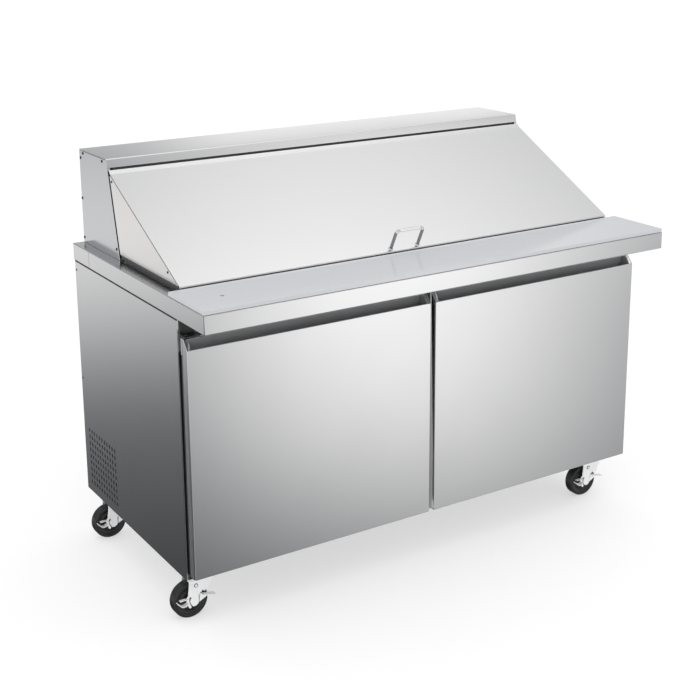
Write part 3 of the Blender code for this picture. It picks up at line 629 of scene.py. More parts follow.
# ---------------------------------------------------------------- dimensions shared with the CAD
SIDES = (("left", -1), ("right", 1))
GAP = 0.0003
TOP_HALF = 0.765
TOP_DEPTH = 0.864
TOP_Z = 0.908
CAB_HALF = 0.762
CAB_FRONT = 0.163
CAB_BACK = 0.864
CAB_LOW = 0.130
CAB_TOP = 0.858
INSIDE = CAB_HALF - SHEET - GAP
BASE_TOP = CAB_LOW + 0.0022
COVER_TOP = 0.420
BOARD_DEPTH = 0.205
BOARD_TOP = 0.919
WELL_X = 0.640
WELL_Y = (0.250, 0.758)
DOOR_INNER = 0.0088
DOOR_EDGE = 0.760
DOOR_FRONT = 0.113
DOOR_WRAP = 0.141
DOOR_REAR = 0.152
DOOR_LOW, DOOR_HIGH = 0.152, 0.8115
CHAMFER_BACK, CHAMFER_DOWN = 0.022, 0.0265
HINGE_X, HINGE_Y = 0.746, 0.145
HOOD_HALF = 0.731
HOOD_BACK = 0.861
HOOD_TOP = 1.186
HOOD_LOW_FASCIA = 1.161
HOOD_NOSE_Y = 0.660
HOOD_FOOT_Y = 0.595
HOOD_SHEET = 0.0019
LID_HALF = 0.729
LID_HINGE = Vector((0.648, 1.152))
LID_NOSE = Vector((0.209, 0.925))
LID_LENGTH = (LID_NOSE - LID_HINGE).length
LID_DIR = (LID_NOSE - LID_HINGE).normalized()
LID_OUT = Vector((LID_DIR.y, -LID_DIR.x))


def hood_edge_y(z):
    return HOOD_FOOT_Y + (z - TOP_Z) * (HOOD_NOSE_Y - HOOD_FOOT_Y) / (HOOD_TOP - TOP_Z)


def on_lid(along, out):
    """(y, z) a distance down the slope from the hinge axis and a height off the lid's face."""
    return tuple(LID_HINGE + LID_DIR * along + LID_OUT * out)


def face_outwards(work):
    """Turns an open sheet's faces so that most look away from its middle."""
    bmesh.ops.recalc_face_normals(work, faces=work.faces)
    middle = sum((v.co for v in work.verts), Vector()) / len(work.verts)
    work.normal_update()
    if sum(f.calc_area() * f.normal.dot(f.calc_center_median() - middle) for f in work.faces) < 0:
        bmesh.ops.reverse_faces(work, faces=work.faces)


def sheet_piece(name, work, fold, finish, replaces, body="cabinet"):
    """An open surface with rounded folds, given its sheet thickness inwards."""
    face_outwards(work)
    obj = add_piece(name, to_mesh(name, work), finish, replaces, body, angle=30)
    round_edges(obj, fold, 3, 32)
    skin = obj.modifiers.new("sheet", "SOLIDIFY")
    skin.thickness = SHEET
    skin.offset = -1
    skin.use_even_offset = True
    skin.use_quality_normals = True


def pull(work, edges, move):
    """Extrudes boundary edges and moves what is made. move turns a vertex position into the new one."""
    made = bmesh.ops.extrude_edge_only(work, edges=edges)["geom"]
    for v in made:
        if isinstance(v, bmesh.types.BMVert):
            v.co = move(v.co)
    return [e for e in made if isinstance(e, bmesh.types.BMEdge) and len(e.link_faces) == 1]


# ---------------------------------------------------------------- worktop and board
def make_worktop():
    work = bmesh.new()
    xs = [-TOP_HALF, -WELL_X, WELL_X, TOP_HALF]
    ys = [0, *WELL_Y, TOP_DEPTH]
    quads(work, [[work.verts.new(place(x, y, TOP_Z)) for y in ys] for x in xs], skip={(1, 1)})
    low, high = place(-TOP_HALF, 0, 0), place(TOP_HALF, TOP_DEPTH, 0)

    def on_rim(co):
        ends = (abs(co.x - low.x), abs(co.x - high.x), abs(co.y - low.y), abs(co.y - high.y))
        return min(ends) < 1e-5

    open_edges = [e for e in work.edges if len(e.link_faces) == 1]
    rim = [e for e in open_edges if all(on_rim(v.co) for v in e.verts)]
    well = [e for e in open_edges if e not in rim]
    skirt = pull(work, rim, lambda co: co - Vector((0, 0, TOP_Z - CAB_TOP)))

    hem_wide, well_lip = 0.0035, 0.014

    def hem(co):
        inward = Vector((0, 0, 0))
        for axis in (0, 1):
            if abs(co[axis] - low[axis]) < 1e-5:
                inward[axis] = hem_wide
            if abs(co[axis] - high[axis]) < 1e-5:
                inward[axis] = -hem_wide
        return co + inward

    pull(work, skirt, hem)
    pull(work, well, lambda co: co - Vector((0, 0, well_lip)))
    sheet_piece("worktop_tray", work, 0.0018, STEEL_X, ["worktop"])
    web = [(CAB_FRONT + 0.014, TOP_Z - SHEET - GAP), (CAB_FRONT, TOP_Z - SHEET - GAP),
           (CAB_FRONT, CAB_TOP + GAP), (CAB_FRONT + 0.014, CAB_TOP + GAP)]
    prism("worktop_cross_web", "X", sheet_outline(web, SHEET, 0.002), -TOP_HALF + 0.002, TOP_HALF - 0.002,
          STEEL_X, bevel=0.0003)

    seams = bmesh.new()
    inset = 0.0012
    for way in (-1, 1):
        corner = arc(way * (TOP_HALF - inset), inset, 0.0011, 0, 324, 10)
        extrude(seams, "Z", corner, CAB_TOP + 0.0008, TOP_Z - 0.0008)
        joint = rectangle(*span(way, TOP_HALF + 0.00015, TOP_HALF - 0.0006), 0.7425, 0.7432)
        extrude(seams, "Z", joint, CAB_TOP + 0.001, TOP_Z - 0.0015)
    from_bmesh("worktop_seams", seams, DARK_STEEL_AND_SHADE, angle=40)


def make_board():
    outline = rectangle(-TOP_HALF + 0.0004, TOP_HALF - 0.0004, 0.0004, BOARD_DEPTH, 0.0025)
    hole = arc(-0.664, 0.100, 0.0055, 0, 345, 24)
    punched("cutting_board_slab", "Z", outline, [hole], TOP_Z + 0.0012, BOARD_TOP, BOARD, ["cutting_board"],
            bevel=0.0016, segments=3)
    feet = bmesh.new()
    for x in (-0.70, -0.23, 0.23, 0.70):
        for y in (0.022, BOARD_DEPTH - 0.022):
            lathe(feet, [(0, 0.0012), (0.007, 0.0012), (0.008, 0.0003), (0, 0.0003)], (x, y, TOP_Z), "Z", 16)
    from_bmesh("cutting_board_feet", feet, RUBBER_AND_SEAM_SHADE, slot="board_plastic")


# ---------------------------------------------------------------- hood
def make_hood():
    top = [(HOOD_BACK, HOOD_TOP), (HOOD_NOSE_Y, HOOD_TOP), (hood_edge_y(HOOD_LOW_FASCIA), HOOD_LOW_FASCIA)]
    behind = HOOD_SHEET + 0.0004
    seat = HOOD_LOW_FASCIA + 0.0120
    flange = [(hood_edge_y(seat) + behind, seat), (hood_edge_y(HOOD_LOW_FASCIA) + behind, HOOD_LOW_FASCIA),
              (0.676, HOOD_LOW_FASCIA)]
    shelf = bmesh.new()
    extrude(shelf, "X", sheet_outline(top, HOOD_SHEET, 0.0045, 6, side=1), -HOOD_HALF, HOOD_HALF)
    extrude(shelf, "X", sheet_outline(flange, HOOD_SHEET, 0.0025, 4, side=1), -HOOD_HALF + 0.0105,
            HOOD_HALF - 0.0105)
    from_bmesh("hood_shelf_sheet", shelf, STEEL_X, ["hood_top_shelf"], bevel=0.0006)
    under = HOOD_TOP - HOOD_SHEET - 0.0010
    lip = HOOD_LOW_FASCIA - 0.0006
    side = [(hood_edge_y(TOP_Z + GAP), TOP_Z + GAP), (HOOD_BACK, TOP_Z + GAP), (HOOD_BACK, under),
            (hood_edge_y(under) + behind, under), (hood_edge_y(lip) + behind, lip), (hood_edge_y(lip), lip)]
    wiper_low, wiper_high = TOP_Z + 0.0172, 1.146
    for name, edge in SIDES:
        prism(f"hood_{name}_end", "X", side, *span(edge, HOOD_HALF, HOOD_HALF - 0.010), HOOD_END_SHADED,
              [f"hood_{name}_side"], bevel=0.0014, segments=3)
        low_y, high_y = hood_edge_y(TOP_Z), hood_edge_y(wiper_high)
        line = [(low_y - 0.009, wiper_low), (low_y + 0.006, wiper_low), (high_y + 0.006, wiper_high),
                (high_y - 0.009, wiper_high)]
        prism(f"hood_{name}_wiper", "X", line, *span(edge, HOOD_HALF - 0.0102, HOOD_HALF - 0.0118), RUBBER_AND_SEAM_SHADE,
              bevel=0.0004)
        spots = [(0.852, 1.161), (0.8545, 1.041), (0.8545, 0.923), (0.832, 1.1765), (0.689, 1.1755),
                 (0.612, 0.938)]
        screws(f"hood_{name}_screws", [(edge * HOOD_HALF, y, z) for y, z in spots], "X", edge, HINGE_BLACK,
               slot="brushed_stainless", radius=0.0044, tall=0.0018)
    between = HOOD_HALF - 0.0103
    line = [(HOOD_BACK - 0.016, under - 0.001), (HOOD_BACK, under - 0.001), (HOOD_BACK, TOP_Z + GAP),
            (HOOD_BACK - 0.012, TOP_Z + GAP)]
    back = sheet_outline(line, SHEET, 0.002, side=-1)
    prism("hood_back_sheet", "X", back, -between, between, STEEL_X, ["hood_rear_panel"], bevel=0.0003)
    row = [(x, HOOD_BACK, z) for x in (-0.69, -0.345, 0.0, 0.345, 0.69) for z in (0.925, 1.168)]
    screws("hood_back_screws", row, "Y", 1, DARK_STEEL_AND_SHADE, radius=0.0036, tall=0.0016)

    y, z = LID_HINGE
    fixing = HOOD_LOW_FASCIA - GAP - 0.0005
    leaf = [(y - 0.0004, z - 0.0030), (y + 0.0078, z - 0.0040), (y + 0.0078, fixing), (0.674, fixing)]
    half, count = 0.715, 44
    # The hinge's leaf and knuckles take the dark steel as painted shade, for the shade under the hood's front
    # edge.
    prism("lid_hinge_leaf", "X", sheet_outline(leaf, 0.0010, 0.0015), -half, half, DARK_STEEL_AND_SHADE, ["lid_hinge"],
          bevel=0.0002, segments=1)
    knuckles = bmesh.new()
    length = 2 * half / count
    for index in range(count):
        start = -half + index * length
        extrude(knuckles, "X", arc(y, z, 0.0028, 0, 330, 12), start + 0.0004, start + length - 0.0004)
    extrude(knuckles, "X", arc(y, z, 0.0016, 0, 315, 8), -half - 0.001, half + 0.001)
    from_bmesh("lid_hinge_knuckles", knuckles, DARK_STEEL_AND_SHADE, angle=40)


# ---------------------------------------------------------------- lid
def make_lid():
    end = LID_LENGTH
    nose = on_lid(end, 0)
    # The top edge laps over the hinge; the hem stands just behind the cutting board.
    line = [on_lid(-0.0006, 0.0038), on_lid(0.0030, 0.0037), on_lid(0.0120, 0.0), nose,
            (nose[0] + 0.0004, nose[1] - 0.0042)]
    profile = sheet_outline(line, SHEET, 0.0014, 4, side=1)
    prism("lid_face_sheet", "X", profile, -LID_HALF, LID_HALF, STEEL_X, ["lid_panel"], body="lid",
          bevel=0.0005, angle=4)
    foot = LID_NOSE.y + 0.0006
    drop = 0.0042
    side = [on_lid(end - 0.0060, -drop), (0.5930, foot), (0.6430, 1.1400), on_lid(0.0140, -drop)]
    # A dark caulk strip in the seam between each end and the face sheet, there to keep the seam line dark:
    # painted shadow.
    strip = [on_lid(end - 0.0030, -SHEET - 0.0002), on_lid(end - 0.0052, -drop + 0.0001),
             on_lid(0.0145, -drop + 0.0001), on_lid(0.0060, -0.0005), on_lid(0.0055, 0.0006),
             on_lid(0.0125, -SHEET - 0.0002)]
    # Dark strips hanging under the lid's ends fill the shaded gap down to the worktop: painted shade.
    skirt = rectangle(0.2140, 0.5840, 0.9158, foot - 0.0002, 0.0010, 2)
    for name, edge in SIDES:
        prism(f"lid_{name}_end", "X", side, *span(edge, LID_HALF, LID_HALF - 0.0035), LID_END_LIT,
              [f"lid_{name}_side"], body="lid", bevel=0.0013, segments=3)
        prism(f"lid_{name}_skirt", "X", skirt, *span(edge, LID_HALF - 0.0005, LID_HALF - 0.0095), SKIRT_SHADE,
              body="lid", bevel=0.0004)
        prism(f"lid_{name}_seam", "X", strip, *span(edge, LID_HALF - 0.0004, LID_HALF - 0.010), RUBBER_AND_SEAM_SHADE,
              body="lid")
        spots = [(edge * LID_HALF, 0.279, 0.9475), (edge * LID_HALF, 0.6300, 1.126)]
        screws(f"lid_{name}_screws", spots, "X", edge, HINGE_BLACK, body="lid", slot="brushed_stainless",
               radius=0.0036, tall=0.0015)
    depth = 0.0195
    reach = (LID_HINGE.y - depth * LID_OUT.y - foot) / -LID_DIR.y
    half = 0.715
    bottom = [on_lid(0.014, -depth), on_lid(reach, -depth), (on_lid(end - 0.008, -drop)[0] + 0.002, foot)]
    shell = [on_lid(0.014, -SHEET - GAP), on_lid(end - 0.008, -SHEET - GAP), *reversed(bottom)]
    prism("lid_inner_foam_skin", "X", shell, -half, half, LINER, ["lid_liner"], body="lid", bevel=0.003,
          segments=3)
    make_handle()


def make_handle():
    middle, along = -0.0285, LID_LENGTH - 0.010
    half, tall, bend, rod = 0.0455, 0.064, 0.012, 0.0045
    foot = 0.0006
    path = fillet([Vector(p) for p in ((-half, foot), (-half, tall), (half, tall), (half, foot))], bend, 10)
    dense = []
    for one, two in zip(path, path[1:]):
        steps = max(1, round((two - one).length / 0.006))
        dense += [one.lerp(two, k / steps) for k in range(steps)]
    dense.append(path[-1])

    def rod_through(work, points):
        tube(work, [(middle + p.x, *on_lid(along, p.y)) for p in points], rod, 18)

    # The rod's bent ends, up to the middle of each bend, then the bar between them. The ends take a darker
    # steel than the bar: painted shade on the one polished rod.
    bent = tall - 0.5 * bend
    posts = bmesh.new()
    for end in (-1, 1):
        rod_through(posts, [p for p in dense if p.x * end > 0 and p.y <= bent])
    from_bmesh("lid_handle_posts", posts, HANDLE_POST_SHADE, body="lid", angle=50)
    bar = bmesh.new()
    high = [i for i, p in enumerate(dense) if p.y > bent]
    rod_through(bar, dense[high[0] - 1:high[-1] + 2])
    from_bmesh("lid_handle_bar", bar, BRIGHT, ["lid_handle"], body="lid", angle=50)
    welds = bmesh.new()
    turn = Vector((0, *LID_OUT)).to_track_quat("Z", "X").to_matrix()
    for end in (-half, half):
        centre = place(middle + end, *on_lid(along, 0.0002))
        rings = []
        for wider, height in ((0.0028, 0.0), (0.0022, 0.0007), (0.0008, 0.0016), (-0.0003, 0.0030)):
            radius = rod + wider
            ring = [Vector((radius * math.cos(a), radius * math.sin(a), height)) for a in circle(20)]
            rings.append([welds.verts.new(centre + turn @ spot) for spot in ring])
        loft(welds, rings)
    from_bmesh("lid_handle_welds", welds, BRIGHT, body="lid", angle=50)


# ---------------------------------------------------------------- doors
def make_door(hand, side):
    body = f"{hand}_door"
    low_x, high_x = span(side, DOOR_INNER, DOOR_EDGE)
    back, down = CHAMFER_BACK, CHAMFER_DOWN
    lower_lip, upper_lip = 0.06, 0.93
    block_wide = 0.012
    knee = DOOR_HIGH - down
    line = [(DOOR_WRAP, DOOR_LOW), (DOOR_FRONT, DOOR_LOW), (DOOR_FRONT, knee),
            (DOOR_FRONT + back * lower_lip, knee + down * lower_lip),
            (DOOR_FRONT + back * upper_lip, knee + down * upper_lip),
            (DOOR_FRONT + back, DOOR_HIGH), (DOOR_WRAP, DOOR_HIGH)]
    xs = [low_x, low_x + block_wide, high_x - block_wide, high_x]
    work = bmesh.new()
    grid = [[work.verts.new(place(x, *p)) for p in line] for x in xs]
    quads(work, grid, skip={(1, 3)})
    for column in (grid[0], grid[-1]):
        work.faces.new(column)
    sheet_piece(f"{hand}_door_sheet", work, 0.0009, STEEL_Z, [f"{hand}_door_skin"], body=body)

    trim = bmesh.new()
    radius = 0.0010
    rod = arc(side * (DOOR_EDGE - radius), DOOR_FRONT + radius, radius, 0, 324, 10)
    extrude(trim, "Z", rod, DOOR_LOW + 0.001, knee - 0.001)
    from_bmesh(f"{hand}_door_edge_trim", trim, DARK_STEEL_AND_SHADE, body=body, angle=40)

    edge = SHEET + GAP
    front = DOOR_FRONT + edge
    roof = DOOR_HIGH - edge
    grip_low = 0.766
    wall = 0.0018
    channel = [(DOOR_FRONT + back * lower_lip + 0.0010, knee + down * lower_lip - 0.0012),
               (front, knee - 0.004), (front, grip_low), (DOOR_REAR, grip_low), (DOOR_REAR, roof),
               (DOOR_FRONT + back - 0.0005, roof)]
    # The channel's mid grey is painted light, lifting the shade in the recess.
    grip = bmesh.new()
    extrude(grip, "X", sheet_outline(channel, wall, 0.010, 8, side=1), low_x + block_wide,
            high_x - block_wide)
    cheek = [(front, grip_low), (DOOR_REAR, grip_low), (DOOR_REAR, roof), (DOOR_FRONT + back + 0.001, roof),
             (front, knee - 0.001)]
    for one, two in ((low_x + edge, low_x + block_wide), (high_x - block_wide, high_x - edge)):
        extrude(grip, "X", cheek, one, two)
    from_bmesh(f"{hand}_door_pull_channel", grip, PULL_CHANNEL_LIT, [f"{hand}_door_grip"], body=body, angle=30)

    box = (low_x + edge, high_x - edge, DOOR_LOW + edge, grip_low - GAP)
    ring = [(0, front), (0, DOOR_REAR - 0.001), (0.001, DOOR_REAR), (0.034, DOOR_REAR),
            (0.035, DOOR_REAR - 0.001), (0.035, front)]
    ring_sweep(f"{hand}_door_frame", box, ring, "Y", BLACK, [f"{hand}_door_core"], body=body, angle=30)
    tray = [(0.0352, front + 0.004), (0.0352, DOOR_REAR - 0.0004), (0.041, DOOR_REAR - 0.0004),
            (0.046, DOOR_REAR - 0.004), (0.060, DOOR_REAR - 0.004), (0.068, DOOR_REAR - 0.0012)]
    work = bmesh.new()
    loops = []
    for inset, y in tray:
        outline = inset_box(box, inset, max(0.004, inset - 0.03), 5)
        loops.append([work.verts.new(place(u, y, v)) for u, v in outline])
    loft(work, loops)
    from_bmesh(f"{hand}_door_inner_panel", work, LINER, body=body, bevel=0.001, angle=25)

    near, far = DOOR_REAR + GAP, CAB_FRONT - GAP
    seal = [(0.0, near), (0.0, near + 0.0022), (0.0035, near + 0.0035), (0.0005, near + 0.0055),
            (0.0005, far - 0.0026), (0.0030, far), (0.0130, far), (0.0155, far - 0.0026),
            (0.0155, near + 0.0055), (0.0125, near + 0.0035), (0.0160, near + 0.0022), (0.0160, near)]
    box = (low_x + 0.016, high_x - 0.016, DOOR_LOW + 0.016, DOOR_HIGH - 0.016)
    ring_sweep(f"{hand}_door_seal", box, seal, "Y", RUBBER_AND_SEAM_SHADE, [f"{hand}_door_gasket"], body=body, bevel=0.0005)
    make_door_hinges(hand, side)


def make_door_hinges(hand, side):
    frame_y = CAB_FRONT - GAP
    sheet = 0.003
    head = [(0.0066, 0.0002), (0.0064, 0.0022), (0.0040, 0.0034), (0, 0.0036)]
    pins = bmesh.new()
    for name, arm, foot, tip, way in (
            ("top", DOOR_HIGH + 0.003, CAB_TOP - 0.006, DOOR_HIGH - 0.0034, 1),
            ("bottom", DOOR_LOW - 0.003, CAB_LOW + 0.003, DOOR_LOW + 0.014, -1)):
        line = [(HINGE_Y - 0.016, arm), (frame_y, arm), (frame_y, foot)]
        bracket = sheet_outline(line, sheet, 0.0035, side=way)
        prism(f"{hand}_{name}_hinge_bracket", "X", bracket, *span(side, 0.757, 0.715), HINGE_BLACK,
              [f"{hand}_{name}_hinge"], bevel=0.0006)
        seat = arm + way * sheet
        shank = [(0, tip), (0.0034, tip), (0.0040, tip + way * 0.001), (0.0040, seat)]
        lathe(pins, shank + [(r, seat + way * h) for r, h in head], (side * HINGE_X, HINGE_Y, 0), "Z", 24)
    from_bmesh(f"{hand}_hinge_pins", pins, DARK_STEEL_AND_SHADE, slot="zinc_plate", angle=40)
    spots = [(side * x, frame_y - sheet, z) for x in (0.726, 0.747) for z in (0.832, 0.845)]
    screws(f"{hand}_hinge_screws", spots, "Y", -1, HINGE_BLACK, radius=0.0030, tall=0.0016)


# ---------------------------------------------------------------- casters
CASTER_X = 0.703
CASTER_Y = {"front": 0.210, "rear": 0.770}
TRAIL = 0.035
WHEEL_R = 0.0508
CROWN_Z = 0.1115
LEG_OUT = 0.024
LEG_IN = 0.0215


def stroke(points, width, radius, caps=6):
    """The outline of a band of one width along a line, with round ends."""
    line = fillet([Vector(p) for p in points], radius, 5)
    outline = sheet_outline(points, width, radius, 5)
    count = len(line)
    left, right = outline[:count], outline[count:]

    def cap(centre, first):
        start = math.degrees(math.atan2(first[1] - centre.y, first[0] - centre.x))
        return arc(centre.x, centre.y, width / 2, start, start - 180, caps + 2)[1:-1]

    return [*left, *cap(line[-1], left[-1]), *right, *cap(line[0], right[-1])]


def fork_leg():
    """One leg, (u, v) from the axle: cut round the axle's lever, with teeth along its trailing edge."""
    return [(0.0040, -0.0150), (0.0105, -0.0145), (0.0165, -0.0110), (0.0195, -0.0060), (0.0192, 0.0140),
            (0.0245, 0.0225), (0.0275, 0.0212), (0.0315, 0.0268), (0.0365, 0.0210), (0.0435, 0.0272),
            (0.0462, 0.0225), (0.0514, 0.0349), (0.0590, 0.0490), (0.0604, 0.0504), (-0.0078, 0.0504),
            (-0.0117, 0.0199), (-0.0070, 0.0166), (-0.0012, 0.0120), (-0.0040, 0.0070), (-0.0056, 0.0000),
            (-0.0035, -0.0070), (0.0005, -0.0130)]


def from_axle(x, points):
    """Points (u, v) from a wheel's axle, for a caster that stands at x."""
    return [(x - TRAIL + u, WHEEL_R + v) for u, v in points]


def make_caster_plate(corner, x, y):
    seat = CAB_LOW - GAP
    plate = rectangle(x - 0.046, x + 0.046, y - 0.036, y + 0.036, 0.008, 5)
    race = bmesh.new()
    extrude(race, "Z", plate, seat - 0.003, seat)
    lathe(race, [(0, seat - 0.001), (0.0300, seat - 0.001), (0.0306, 0.1255), (0.0304, 0.1210),
                 (0.0292, 0.1192), (0.0266, 0.1168), (0.0255, 0.1164), (0.0145, 0.1164), (0.0140, 0.1158),
                 (0.0140, 0.1129), (0.0060, 0.1127), (0.0060, 0.1082), (0.0098, 0.1082), (0.0097, 0.1064),
                 (0.0082, 0.1051), (0.0045, 0.1046), (0, 0.1045)], (x, y, 0), "Z", 48)
    for dx in (-0.037, 0.037):
        for dy in (-0.028, 0.028):
            extrude(race, "Z", arc(x + dx, y + dy, 0.0060, 0, 300, 6), seat - 0.0068, seat - 0.0031)
            lathe(race, [(0, 0), (0.0075, 0), (0.0075, -0.0006), (0, -0.0006)],
                  (x + dx, y + dy, seat - 0.0031), "Z", 20)
    from_bmesh(f"swivel_plate_{corner}", race, ZINC, [f"caster_plate_{corner}"], bevel=0.0003, segments=1,
               angle=40)


def make_fork(corner, x, y):
    body = f"fork_{corner}"
    wheel_x = x - TRAIL
    low_x, high_x = wheel_x - 0.0078, wheel_x + 0.0604
    sheet = LEG_OUT - LEG_IN
    work = bmesh.new()
    leg = from_axle(x, fork_leg())
    for low, high in ((-LEG_OUT, -LEG_IN), (LEG_IN, LEG_OUT)):
        extrude(work, "Y", leg, y + low, y + high)
    shoulder = WHEEL_R + 0.0504
    for way in (-1, 1):
        outer = y + way * LEG_OUT
        bend = sheet_outline([(y + way * 0.017, CROWN_Z), (outer, CROWN_Z), (outer, shoulder)], sheet, 0.0055,
                             6, -way)
        extrude(work, "X", bend, low_x, high_x)
    apron = rectangle(y - LEG_OUT + 0.003, y + LEG_OUT - 0.003, 0.0975, CROWN_Z - sheet)
    extrude(work, "X", apron, high_x - sheet, high_x)
    # Stiffening: a lapped edge along the front of each leg and three ribs on its wide part.
    lap = [(-0.0078, 0.0500), (-0.0117, 0.0199), (-0.0070, 0.0166), (-0.0015, 0.0165), (0.0030, 0.0500)]
    for way in (-1, 1):
        low, high = span(way, LEG_OUT, LEG_OUT + 0.0011)
        extrude(work, "Y", from_axle(x, lap), y + low, y + high)
        for u, foot in ((0.0225, 0.027), (0.0335, 0.030), (0.0440, 0.0315)):
            rib = [(wheel_x + u + a, y + way * (LEG_OUT + b)) for a, b in arc(0, -0.0018, 0.0030, 37, 143, 7)]
            extrude(work, "Z", rib, WHEEL_R + foot, shoulder + 0.002)
    rivet_x, rivet_z = wheel_x + 0.0122, WHEEL_R + 0.0450
    axle = [(0, 0), (0.0046, 0), (0.0044, 0.0007), (0.0030, 0.0013), (0, 0.0014)]
    rivet = [(0, 0), (0.0040, 0), (0.0038, 0.0014), (0.0026, 0.0024), (0, 0.0028)]
    for way in (-1, 1):
        outer = y + way * LEG_OUT
        lathe(work, [(r, way * h) for r, h in axle], (wheel_x, outer, WHEEL_R), "Y", 24)
        lathe(work, [(r, way * h) for r, h in rivet], (rivet_x, outer, rivet_z), "Y", 24)
    reach = LEG_OUT - 0.0003
    lathe(work, [(0, -reach), (0.0058, -reach), (0.0058, reach), (0, reach)], (wheel_x, y, WHEEL_R), "Y", 24)
    from_bmesh(f"fork_legs_{corner}", work, ZINC, [f"caster_fork_{corner}"], body=body, bevel=0.0004,
               angle=40)
    crown = rectangle(low_x, high_x, y - 0.017, y + 0.017)
    punched(f"fork_crown_{corner}", "Z", crown, [arc(x, y, 0.0070, 0, 345, 24)], CROWN_Z - sheet, CROWN_Z,
            ZINC, body=body)
    race = [(0.0180, 0.1114), (0.0306, 0.1114), (0.0312, 0.1130), (0.0304, 0.1145), (0.0285, 0.1149),
            (0.0262, 0.1143), (0.0235, 0.1143), (0.0205, 0.1149), (0.0180, 0.1146)]
    turned(f"fork_race_{corner}", race, (x, y, 0), "Z", ZINC, body=body)
    marks = bmesh.new()
    for way in (-1, 1):
        ring = [(0.0040, 0), (0.0058, 0), (0.0058, way * 0.0005), (0.0040, way * 0.0005)]
        lathe(marks, ring, (rivet_x, y + way * LEG_OUT, rivet_z), "Y", 24)
    from_bmesh(f"fork_rivet_rings_{corner}", marks, DARK_STEEL_AND_SHADE, body=body, slot="zinc_plate")


def make_wheel(corner, x, y):
    half = [(0.0508, 0.0100), (0.0504, 0.0128), (0.0492, 0.0148), (0.0474, 0.0156), (0.0424, 0.0157),
            (0.0410, 0.0151), (0.0396, 0.0128), (0.0384, 0.0112), (0.0296, 0.0106), (0.0284, 0.0114),
            (0.0270, 0.0122), (0.0216, 0.0122), (0.0204, 0.0112), (0.0190, 0.0104), (0.0162, 0.0104),
            (0.0152, 0.0116), (0.0142, 0.0154), (0.0130, 0.0160), (0.0062, 0.0160)]
    profile = [*half, *[(r, -h) for r, h in reversed(half)]]
    turned(f"wheel_tyre_{corner}", profile, (x - TRAIL, y, WHEEL_R), "Y", WHEEL, [f"caster_wheel_{corner}"],
           body=f"wheel_{corner}", steps=72, angle=50)


def make_brake(corner, x, y):
    bar = 0.0018
    band = [(0.0040, 0.0165), (-0.0090, 0.0155), (-0.0120, 0.0050), (-0.0100, -0.0050), (-0.0050, -0.0165)]
    web = [(0.0040, 0.0190), (0.0040, 0.0130), (0.0225, 0.0140), (0.0232, 0.0120), (0.0228, -0.0082),
           (0.0510, 0.0060), (0.0450, 0.0120), (0.0250, 0.0168), (0.0180, 0.0190)]
    tab = [(-0.0150, 0.0015), (-0.0235, -0.0035), (-0.0330, -0.0035), (-0.0455, 0.0085)]
    upper = [(-0.0138, 0.0118), (-0.0250, 0.0128), (-0.0375, 0.0120)]
    pedal = [(0.0240, 0.0178), (0.0450, 0.0128), (0.0655, 0.0085)]
    work = bmesh.new()
    for outline, low, high in (
            (stroke(band, 0.0072, 0.007), 0.0205, 0.0180),
            (web, 0.0205, 0.0180),
            (sheet_outline(tab, bar, 0.008, 5), 0.0345, 0.0190),
            (sheet_outline(upper, bar, 0.02), 0.0290, 0.0190),
            (sheet_outline(pedal, bar, 0.02), 0.0360, 0.0190)):
        extrude(work, "Y", from_axle(x, outline), y - low, y - high)
    from_bmesh(f"brake_lever_{corner}", work, ZINC, [f"caster_brake_{corner}"], body=f"brake_{corner}",
               bevel=0.0004, angle=40)


# ---------------------------------------------------------------- cabinet
def stadium(u, v, half_u, half_v, steps=5):
    """An upright slot with round ends."""
    rise = half_v - half_u
    return [*arc(u, v + rise, half_u, 0, 180, steps), *arc(u, v - rise, half_u, 180, 360, steps)]


def make_side_panels():
    outline = rectangle(CAB_FRONT, CAB_BACK, CAB_LOW, CAB_TOP - 0.0058)
    # The vent slots: columns from front to back, rows from the bottom up.
    columns, rows = 11, 9
    vents = [stadium(0.630 + 0.194 * i / (columns - 1), 0.164 + 0.168 * j / (rows - 1), 0.0043, 0.0068)
             for i in range(columns) for j in range(rows)]
    tape = rectangle(CAB_FRONT, CAB_BACK, CAB_TOP - 0.0056, CAB_TOP - 0.0004)
    for (name, way), holes in zip(SIDES, (vents, [])):
        punched(f"{name}_side_sheet", "X", outline, holes, *span(way, CAB_HALF, CAB_HALF - SHEET), STEEL_Z,
                [f"{name}_side_panel"])
    for name, way in SIDES:
        prism(f"{name}_top_tape", "X", tape, *span(way, CAB_HALF - 0.0002, CAB_HALF - SHEET), RUBBER_AND_SEAM_SHADE,
              bevel=0.0003)
    wall = CAB_HALF - SHEET
    # A near-black sheet just behind the vent slots, so that they read as dark holes: painted shade.
    prism("vent_shadow_sheet", "X", rectangle(0.612, 0.842, 0.146, 0.350, 0.004, 3), 0.0004 - wall, 0.0010 - wall,
          VENT_SHADOW, bevel=0.0002)
    rivets = bmesh.new()
    head = [(0, 0), (0.0034, 0), (0.0031, 0.0008), (0.0016, 0.0011), (0, 0.0012)]
    front, rear = CAB_FRONT + GAP + 0.009, CAB_BACK - 0.0095
    for way, y in ((-1, rear), (1, front), (1, rear)):
        for z in (CAB_LOW + 0.02, CAB_LOW + 0.36, CAB_TOP - 0.03):
            lathe(rivets, [(r, way * h) for r, h in head], (way * CAB_HALF, y, z), "X", 16)
    from_bmesh("side_panel_rivets", rivets, DARK_STEEL_AND_SHADE, angle=50)
    base = rectangle(-INSIDE, INSIDE, CAB_FRONT + GAP, CAB_BACK - GAP, 0.002, 2)
    prism("base_sheet", "Z", base, CAB_LOW, BASE_TOP, STEEL_X, ["base_plate"], bevel=0.0006)


